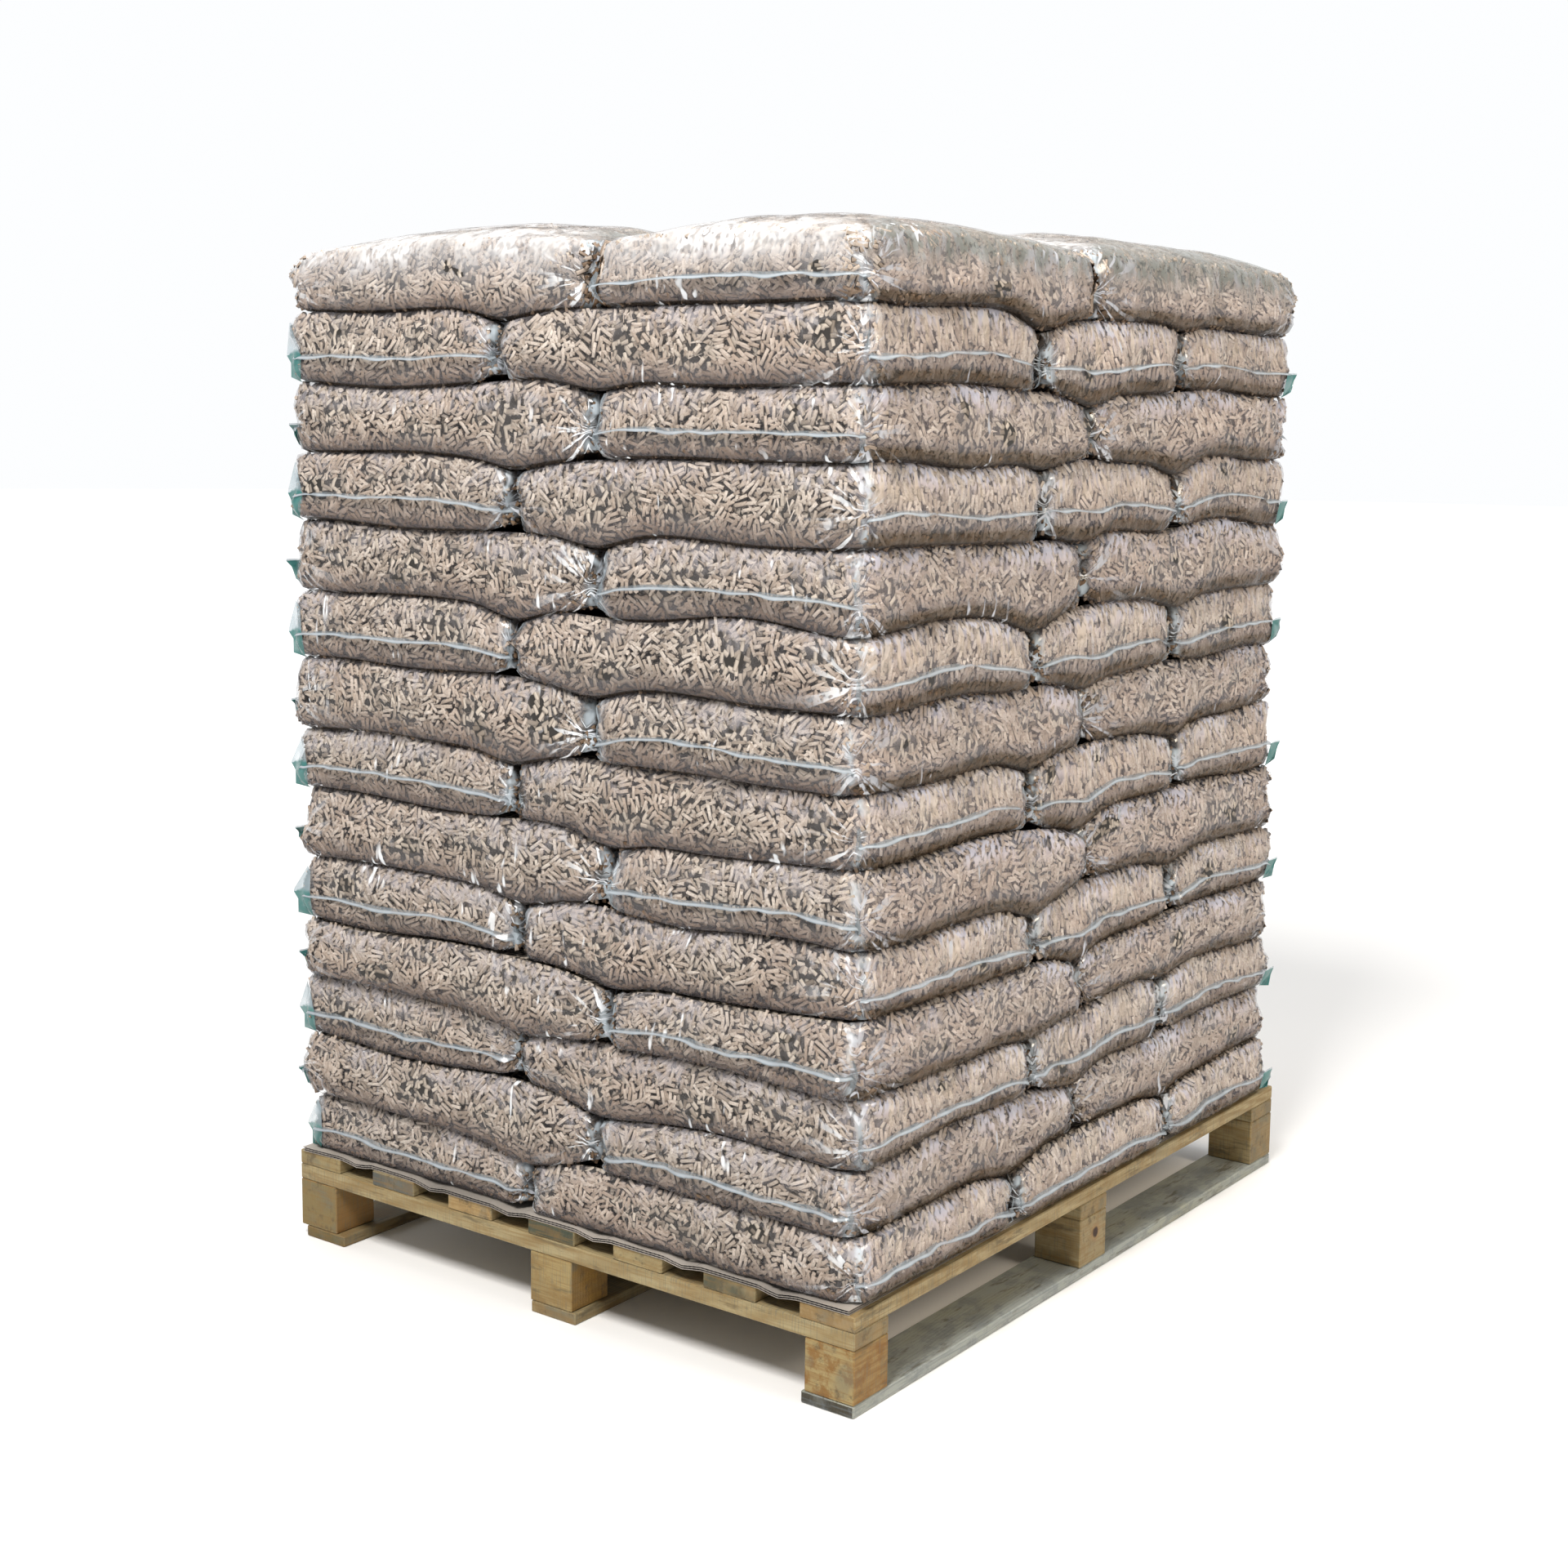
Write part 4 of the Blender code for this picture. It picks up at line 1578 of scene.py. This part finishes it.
@dataclass(frozen=True)
class PineFinish:
    """Sawn pine of a light pallet, from fresh and yellow to grey with weather."""

    grain: Grain
    seed: int
    pale: tuple = (0.335, 0.275, 0.150)
    ring: tuple = (0.225, 0.160, 0.070)
    end: tuple = (0.250, 0.180, 0.085)
    grey: tuple = (0.130, 0.130, 0.098)
    dirt: tuple = (0.085, 0.066, 0.038)
    blotch: tuple = (0.200, 0.115, 0.035)
    blotched: float = 0.30
    weather: float = 0.25
    end_weather: float = 0.45
    knot: tuple | None = None

    def material(self, name: str, group: bpy.types.NodeTree) -> bpy.types.Material:
        """The material of one board or block.

        Args:
            name: the material's name.
            group: the pine grain group.

        Returns:
            The material.
        """
        made, nodes, shader = new_material(name)
        place = nodes.object_place()
        split = nodes.add("ShaderNodeSeparateXYZ")
        nodes.put(split.inputs[0], place)
        turned = nodes.add("ShaderNodeCombineXYZ")
        along, across = ("X", "Y") if self.grain is Grain.ALONG_X else ("Y", "X")
        nodes.put(turned.inputs[0], split.outputs[along])
        nodes.put(turned.inputs[1], split.outputs[across])
        nodes.put(turned.inputs[2], split.outputs["Z"])
        pine = nodes.add("ShaderNodeGroup", node_tree=group)
        nodes.put(pine.inputs["Place"], turned.outputs[0])
        draw = np.random.default_rng(self.seed)
        pine.inputs["Pith"].default_value = (
            draw.uniform(0, 9),
            draw.uniform(0.03, 0.09) * draw.choice((-1, 1)) - 0.5,
            draw.uniform(-0.10, -0.02),
        )
        colour = nodes.blend(nodes.math("MULTIPLY", pine.outputs["Rings"], 0.55), self.pale, self.ring)
        fine = nodes.span(pine.outputs["Fine"], 0.35, 0.75, 0.0, 0.40)
        colour = nodes.blend(fine, colour, self.ring)
        normal = nodes.normal_parts()
        at_end = nodes.span(nodes.math("ABSOLUTE", normal.outputs[along]), 0.6, 0.9)
        colour = nodes.blend(nodes.math("MULTIPLY", at_end, 0.90), colour, self.end)
        stain = nodes.span(pine.outputs["Stain"], 0.62 - 0.45 * self.weather, 0.85 - 0.3 * self.weather)
        stain_end = nodes.span(pine.outputs["Stain"], 0.62 - 0.45 * self.end_weather, 0.80 - 0.3 * self.end_weather)
        amount = nodes.add("ShaderNodeMix", data_type="FLOAT")
        nodes.put(amount.inputs["Factor"], at_end)
        nodes.put(amount.inputs["A"], nodes.math("MULTIPLY", stain, min(1.0, 0.25 + self.weather)))
        nodes.put(amount.inputs["B"], nodes.math("MULTIPLY", stain_end, min(0.9, self.end_weather + 0.2)))
        colour = nodes.blend(amount.outputs["Result"], colour, self.grey)
        colour = self.marked(nodes, turned.outputs[0], pine.outputs["Stain"], colour)
        if self.knot:
            colour = self.with_knot(nodes, place, colour)
        nodes.put(shader.inputs["Base Color"], colour)
        nodes.put(shader.inputs["Normal"], nodes.bump(pine.outputs["Height"], 0.45, 0.0012))
        shader.inputs["Roughness"].default_value = 0.72
        shader.inputs["Specular IOR Level"].default_value = 0.3
        return made

    def marked(self, nodes: Nodes, grain_place, stain, colour) -> bpy.types.NodeSocket:
        """Brown blotches, saw marks across the grain and up the height, and grime."""
        spots = nodes.noise(nodes.scale(grain_place, (20.0, 36.0, 36.0)), 1.0, 4.0, 0.7)
        colour = nodes.blend(nodes.span(spots, 0.46, 0.60, 0.0, self.blotched), colour, self.blotch)
        saw = nodes.noise(nodes.scale(grain_place, (420.0, 30.0, 30.0)), 1.0, 1.0)
        saw = nodes.math("MULTIPLY", nodes.span(saw, 0.50, 0.64, 0.0, 0.45), nodes.span(stain, 0.3, 0.6))
        colour = nodes.blend(saw, colour, self.grey)
        lines = nodes.noise(nodes.scale(grain_place, (14.0, 14.0, 330.0)), 1.0, 1.0)
        colour = nodes.blend(nodes.span(lines, 0.48, 0.66, 0.0, 0.42), colour, self.blotch)
        grime = nodes.noise(nodes.scale(grain_place, (11.0, 60.0, 60.0)), 1.0, 4.0, 0.7)
        return nodes.blend(nodes.span(grime, 0.54, 0.68, 0.0, 0.65), colour, self.dirt)

    def with_knot(self, nodes: Nodes, place, colour) -> bpy.types.NodeSocket:
        """A dark knot with a paler ring at the finish's knot place."""
        away = nodes.add("ShaderNodeVectorMath", operation="DISTANCE")
        nodes.put(away.inputs[0], place)
        away.inputs[1].default_value = self.knot
        reach = nodes.math("ADD", away.outputs["Value"], nodes.math("MULTIPLY", nodes.noise(place, 90.0), 0.004))
        ring = nodes.span(reach, 0.020, 0.008)
        core = nodes.span(reach, 0.0115, 0.0075)
        colour = nodes.blend(nodes.math("MULTIPLY", ring, 0.7), colour, (0.30, 0.17, 0.07))
        return nodes.blend(core, colour, (0.045, 0.025, 0.018))


@dataclass(frozen=True)
class BoardFinish:
    """Brown corrugated board: grey-brown liners, darker and purplish at the cut edge, where the flutes carry
    painted shade.
    """

    face: tuple = (0.320, 0.288, 0.255)
    flute_shade: tuple = (0.110, 0.094, 0.104)

    def material(self, name: str, cut: bool) -> bpy.types.Material:
        """The material of the board's faces, or of its flutes where cut is true."""
        made, nodes, shader = new_material(name)
        place = nodes.object_place()
        # The flutes take a dark colour as painted shade between the sheets.
        base = self.flute_shade if cut else self.face
        fibre = nodes.noise(nodes.scale(place, (160.0, 900.0, 160.0)), 1.0, 3.0)
        patch = nodes.noise(place, 6.0, 3.0)
        dark = tuple(part * 0.72 for part in base)
        light = tuple(min(1.0, part * 1.22) for part in base)
        colour = nodes.blend(nodes.span(patch, 0.3, 0.7), dark, light)
        colour = nodes.blend(nodes.span(fibre, 0.3, 0.8, 0.0, 0.35), colour, base)
        nodes.put(shader.inputs["Base Color"], colour)
        nodes.put(shader.inputs["Normal"], nodes.bump(fibre, 0.3, 0.0006))
        shader.inputs["Roughness"].default_value = 0.85
        return made


@dataclass
class Liner:
    """The double wall board: three sheets with two rows of flutes, sagging between the boards."""

    sheet: float = 0.0005
    flute_pitch: float = 0.0072
    flute_depth: float = 0.030
    rows: int = 26

    def __post_init__(self) -> None:
        """Reads the board's box and the deck boards that it lies on."""
        self.low, self.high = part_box("cardboard_liner")
        self.decks = [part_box(f"deck_board_{i}") for i in range(1, 8)]
        self.flat_low = self.decks[0][1].z + 0.0003
        self.thick = self.high.z - self.flat_low

    def sag(self, x: np.ndarray, y: np.ndarray) -> np.ndarray:
        """How far the board dips between two deck boards, close to its front and back edges."""
        depth = np.zeros_like(x)
        for left, right in zip(self.decks, self.decks[1:]):
            start, end = left[1].x + 0.003, right[0].x - 0.003
            share = np.clip((x - start) / (end - start), 0, 1)
            depth = np.maximum(depth, 0.70 * np.sin(share * math.pi) ** 2)
        from_end = np.minimum(y - self.low.y, self.high.y - y)
        reach = np.clip(1 - from_end / 0.070, 0, 1)
        return (self.flat_low - self.low.z) * depth * reach

    def edge_wave(self, x: np.ndarray, y: np.ndarray) -> np.ndarray:
        """How far the cut front edge stands out of a straight line."""
        near = np.clip(1 - (y - self.low.y) / 0.2, 0, 1)
        return near * 0.0035 * Noise(12, 0.5).at(x)

    def placed(self, share_x: np.ndarray, y: np.ndarray, level: np.ndarray) -> np.ndarray:
        """Points of the board from their place across it, along it and up it."""
        x = self.low.x + share_x * (self.high.x - self.low.x)
        z = self.flat_low + level * self.thick - self.sag(x, y)
        return np.stack([x, y + self.edge_wave(x, y), z], axis=-1)

    def sheets(self) -> bpy.types.Mesh:
        """The three flat sheets of the board."""
        made = []
        half = self.sheet / self.thick / 2
        for level in (half, 0.5, 1 - half):
            grid = bmesh.new()
            bmesh.ops.create_grid(grid, x_segments=64, y_segments=self.rows, size=1.0)
            bmesh.ops.solidify(grid, geom=list(grid.faces), thickness=2 * half)
            mesh = bpy.data.meshes.new("sheet")
            grid.to_mesh(mesh)
            grid.free()
            spots = read_points(mesh)
            lift = spots[:, 2] - spots[:, 2].mean()
            bend = np.sign(spots[:, 1]) * np.abs(spots[:, 1]) ** 0.45
            y = (self.low.y + self.high.y) / 2 + bend * (self.high.y - self.low.y) / 2
            write_points(mesh, self.placed((spots[:, 0] + 1) / 2, y, level + lift))
            made.append(mesh)
        return join(made, "board_sheets")

    def flutes(self) -> bpy.types.Mesh:
        """The waves between the sheets, seen at the two cut ends."""
        made = []
        width = self.high.x - self.low.x
        columns = 5 * round(width / self.flute_pitch)
        for base in (0.0, 0.5):
            for start in (self.low.y, self.high.y - self.flute_depth):
                grid = bmesh.new()
                bmesh.ops.create_grid(grid, x_segments=columns, y_segments=1, size=1.0)
                mesh = bpy.data.meshes.new("flutes")
                grid.to_mesh(mesh)
                grid.free()
                spots = read_points(mesh)
                share = (spots[:, 0] + 1) / 2
                wave = 0.5 + 0.5 * np.sin(share * width / self.flute_pitch * 2 * math.pi)
                y = start + 0.0006 + (spots[:, 1] + 1) / 2 * (self.flute_depth - 0.0012)
                level = base + 0.045 + wave * 0.41
                write_points(mesh, self.placed(share, y, level))
                made.append(mesh)
        return join(made, "board_flutes")

    def build(self) -> None:
        """Makes the sheets and the flutes, which replace the solid board."""
        finish = BoardFinish()
        sheets = add_piece("board_sheets", self.sheets(), finish.material("board_face", False))
        flutes = add_piece("board_flutes", self.flutes(), finish.material("board_flute", True))
        sheets.data.shade_flat()
        for piece in (sheets, flutes):
            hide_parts("cardboard_liner")


@dataclass
class Timber:
    """The finishes of the pallet's boards and blocks, which keep their own solids."""

    seed: int = 40

    def finishes(self) -> dict[str, PineFinish]:
        """A finish for each board and block, by node name."""
        made = {}
        for i, side in enumerate(("left", "middle", "right")):
            made[f"bottom_board_{side}"] = self.finish(Grain.ALONG_Y, i)
            made[f"stringer_{('front', 'middle', 'back')[i]}"] = self.finish(Grain.ALONG_X, 20 + i)
        for i in range(9):
            name = f"block_{('front', 'middle', 'back')[i // 3]}_{('left', 'middle', 'right')[i % 3]}"
            made[name] = self.finish(Grain.ALONG_X, 40 + i, pale=(0.360, 0.280, 0.140))
        for i in range(7):
            made[f"deck_board_{i + 1}"] = self.finish(Grain.ALONG_Y, 60 + i, end_weather=0.75)
        self.particular(made)
        return made

    def finish(self, grain: Grain, number: int, **values) -> PineFinish:
        """A finish with a seed of its own."""
        return PineFinish(grain, self.seed + number, **values)

    def particular(self, made: dict[str, PineFinish]) -> None:
        """Boards and blocks that differ from the rest: weathered, orange or with a knot."""
        along = Grain.ALONG_Y
        made["bottom_board_right"] = PineFinish(
            along, 51, pale=(0.350, 0.350, 0.275), ring=(0.270, 0.270, 0.200), end=(0.022, 0.016, 0.010),
            grey=(0.330, 0.350, 0.325), blotch=(0.150, 0.170, 0.180), blotched=0.45,
            weather=0.80, end_weather=0.0,
        )
        made["bottom_board_left"] = PineFinish(
            along, 52, pale=(0.240, 0.190, 0.100), end=(0.110, 0.090, 0.038), weather=0.45, end_weather=0.30
        )
        made["block_front_right"] = PineFinish(
            along, 53, pale=(0.290, 0.190, 0.070), ring=(0.200, 0.110, 0.035),
            end=(0.310, 0.240, 0.110), blotch=(0.190, 0.085, 0.018), blotched=0.75,
            weather=0.18, end_weather=0.12,
        )
        made["block_front_left"] = PineFinish(
            along, 54, pale=(0.260, 0.140, 0.045), end=(0.190, 0.145, 0.062), weather=0.1, end_weather=0.30
        )
        made["block_front_middle"] = PineFinish(
            Grain.ALONG_X, 58, pale=(0.320, 0.240, 0.105), end=(0.280, 0.150, 0.030), blotched=0.50
        )
        low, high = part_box("block_middle_right")
        knot = (high.x, (low.y + high.y) / 2 + 0.006, low.z + 0.6 * (high.z - low.z))
        made["block_middle_right"] = PineFinish(
            Grain.ALONG_X, 55, end=(0.270, 0.215, 0.118), blotched=0.40, weather=0.15, end_weather=0.15,
            knot=knot,
        )
        dark = (0.036, 0.048, 0.034)
        made["deck_board_1"] = PineFinish(along, 57, end=(0.270, 0.215, 0.105), end_weather=0.20)
        made["deck_board_2"] = PineFinish(along, 61, end=(0.115, 0.115, 0.095), grey=(0.080, 0.084, 0.074), end_weather=0.7)
        made["deck_board_3"] = PineFinish(along, 62, end=(0.340, 0.230, 0.100), end_weather=0.15)
        made["deck_board_4"] = PineFinish(along, 63, end=(0.150, 0.142, 0.082), grey=dark, end_weather=0.80)
        made["deck_board_5"] = PineFinish(along, 64, end=(0.290, 0.230, 0.115), grey=dark, end_weather=0.45)
        made["deck_board_6"] = PineFinish(along, 65, end=(0.250, 0.195, 0.105), grey=dark, end_weather=0.60)
        made["deck_board_7"] = PineFinish(
            along, 56, pale=(0.370, 0.300, 0.165), end=(0.260, 0.180, 0.085), blotched=0.45,
            weather=0.20, end_weather=0.35,
        )

    def build(self) -> None:
        """Dresses every board and block."""
        group = pine_group()
        for name, finish in self.finishes().items():
            mesh = bpy.data.objects[name].data
            mesh.materials.clear()
            mesh.materials.append(finish.material(f"pine_{name}", group))
            log.info("%s: dressed", name)


@dataclass
class Sacks:
    """Every sack: its bed, its pellets, its film and its seams."""

    stack: Stack = field(default_factory=Stack)

    def build(self) -> None:
        """Makes the pieces that replace each layer's solid."""
        pellet = PelletFinish().material()
        bed = BedFinish().material()
        clear = FilmFinish().material()
        seam = SeamFinish().material()
        beds, pellets = Beds(self.stack), Pellets(self.stack)
        film, seams = Film(self.stack), Seams(self.stack)
        for layer in range(LAYERS):
            node = f"sack_layer_{layer + 1:02d}"
            tag = f"{layer + 1:02d}"
            made = [add_piece(f"sack_bed_{tag}", beds.mesh(layer), bed)]
            for part, which in self.shares(layer):
                name = f"pellets_{tag}{part}"
                made.append(add_piece(name, pellets.mesh(layer, which, name), pellet))
            made.append(add_piece(f"sack_film_{tag}", film.mesh(layer), clear))
            made.append(add_piece(f"sack_seams_{tag}", seams.mesh(layer), seam))
            for piece in made:
                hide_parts(node)

    def shares(self, layer: int) -> list[tuple[str, list[Sack]]]:
        """The sacks of a layer in lots whose pellets make one piece each."""
        sacks = self.stack.sacks[layer]
        if layer < LAYERS - 1:
            return [("", sacks)]
        return [("_a", sacks[:3]), ("_b", sacks[3:])]


@dataclass
class Studio:
    """The camera at the photograph's place, a pale floor and soft light."""

    eye: tuple = (1.9601, -2.7235, 1.22311)
    azimuth: float = 36.61
    pitch: float = 7.74
    roll: float = 0.65
    focal_pixels: float = 2719.77
    centre_row: float = 871.81
    image: int = 1920
    sensor: float = 36.0
    behind: tuple = (-0.56, 0.75, 0.35)
    sky: float = 0.36

    def camera(self) -> None:
        """The camera, set from the pallet's own edges in the photograph."""
        turn, tip, roll = (math.radians(a) for a in (self.azimuth, self.pitch, self.roll))
        back = Vector((math.sin(turn) * math.cos(tip), -math.cos(turn) * math.cos(tip), math.sin(tip)))
        right = Vector((math.cos(turn), math.sin(turn), 0.0))
        up = back.cross(right)
        right, up = (
            math.cos(roll) * right + math.sin(roll) * up,
            -math.sin(roll) * right + math.cos(roll) * up,
        )
        lens = bpy.data.cameras.new("camera")
        lens.sensor_width = self.sensor
        lens.lens = self.focal_pixels / self.image * self.sensor
        lens.shift_y = (self.centre_row - self.image / 2) / self.image
        lens.clip_end = 100.0
        holder = bpy.data.objects.new("camera", lens)
        bpy.context.scene.collection.objects.link(holder)
        rows = Matrix((right, up, back)).transposed().to_4x4()
        holder.matrix_world = Matrix.Translation(self.eye) @ rows
        bpy.context.scene.camera = holder

    def floor(self) -> None:
        """A plain pale floor."""
        made = bmesh.new()
        bmesh.ops.create_circle(made, segments=96, radius=30.0, cap_ends=True)
        mesh = bpy.data.meshes.new("floor")
        made.to_mesh(mesh)
        made.free()
        finish, nodes, shader = new_material("pale_floor")
        soft = nodes.noise(nodes.object_place(), 1.5, 2.0)
        nodes.put(shader.inputs["Base Color"], nodes.blend(soft, (0.86, 0.86, 0.86), (0.90, 0.90, 0.90)))
        shader.inputs["Roughness"].default_value = 0.9
        away = nodes.add("ShaderNodeVectorMath", operation="LENGTH")
        nodes.put(away.inputs[0], nodes.object_place())
        glow = nodes.span(away.outputs["Value"], 1.5, 5.0, 0.0, 0.60)
        nodes.put(shader.inputs["Emission Strength"], glow)
        shader.inputs["Emission Color"].default_value = (1.0, 1.0, 1.0, 1.0)
        mesh.materials.append(finish)
        floor = bpy.data.objects.new("floor", mesh)
        bpy.context.scene.collection.objects.link(floor)

    def lamp(self, name: str, place: tuple, size: float, watts: float, colour: tuple) -> None:
        """A square soft lamp that looks at the middle of the stack."""
        light = bpy.data.lights.new(name, "AREA")
        light.size = size
        light.energy = watts
        light.color = colour
        holder = bpy.data.objects.new(name, light)
        bpy.context.scene.collection.objects.link(holder)
        holder.location = place
        aim = Vector((0, 0, 0.75)) - Vector(place)
        holder.rotation_euler = aim.to_track_quat("-Z", "Y").to_euler()

    def light(self) -> None:
        """A sky that is pale behind the stack, a lamp over the front and a warmer one on the right."""
        world = bpy.data.worlds.new("studio")
        world.use_nodes = True
        nodes = Nodes(world.node_tree)
        sky = world.node_tree.nodes["Background"]
        sky.inputs["Color"].default_value = (0.98, 0.99, 1.0, 1.0)
        way = nodes.add("ShaderNodeVectorMath", operation="DOT_PRODUCT")
        nodes.put(way.inputs[0], nodes.add("ShaderNodeTexCoord").outputs["Generated"])
        way.inputs[1].default_value = self.behind
        nodes.put(sky.inputs["Strength"], nodes.span(way.outputs["Value"], 0.25, 0.80, self.sky, 1.0))
        bpy.context.scene.world = world
        self.lamp("key_lamp", (0.9, -3.4, 4.8), 1.4, 330.0, (1.0, 0.97, 0.93))
        self.lamp("right_lamp", (4.4, 0.0, 3.4), 1.4, 105.0, (1.0, 0.86, 0.68))
        self.lamp("top_lamp", (0.2, 0.3, 4.6), 2.5, 60.0, (0.94, 0.97, 1.0))

    def build(self) -> None:
        """Sets up the studio."""
        bpy.context.scene.view_settings.view_transform = "Standard"
        self.camera()
        self.floor()
        self.light()


def main() -> None:
    """Builds the studio and every piece."""
    logging.basicConfig(level=logging.INFO, format="%(message)s")
    Studio().build()
    Timber().build()
    Liner().build()
    Sacks().build()


if __name__ == "__main__":
    main()
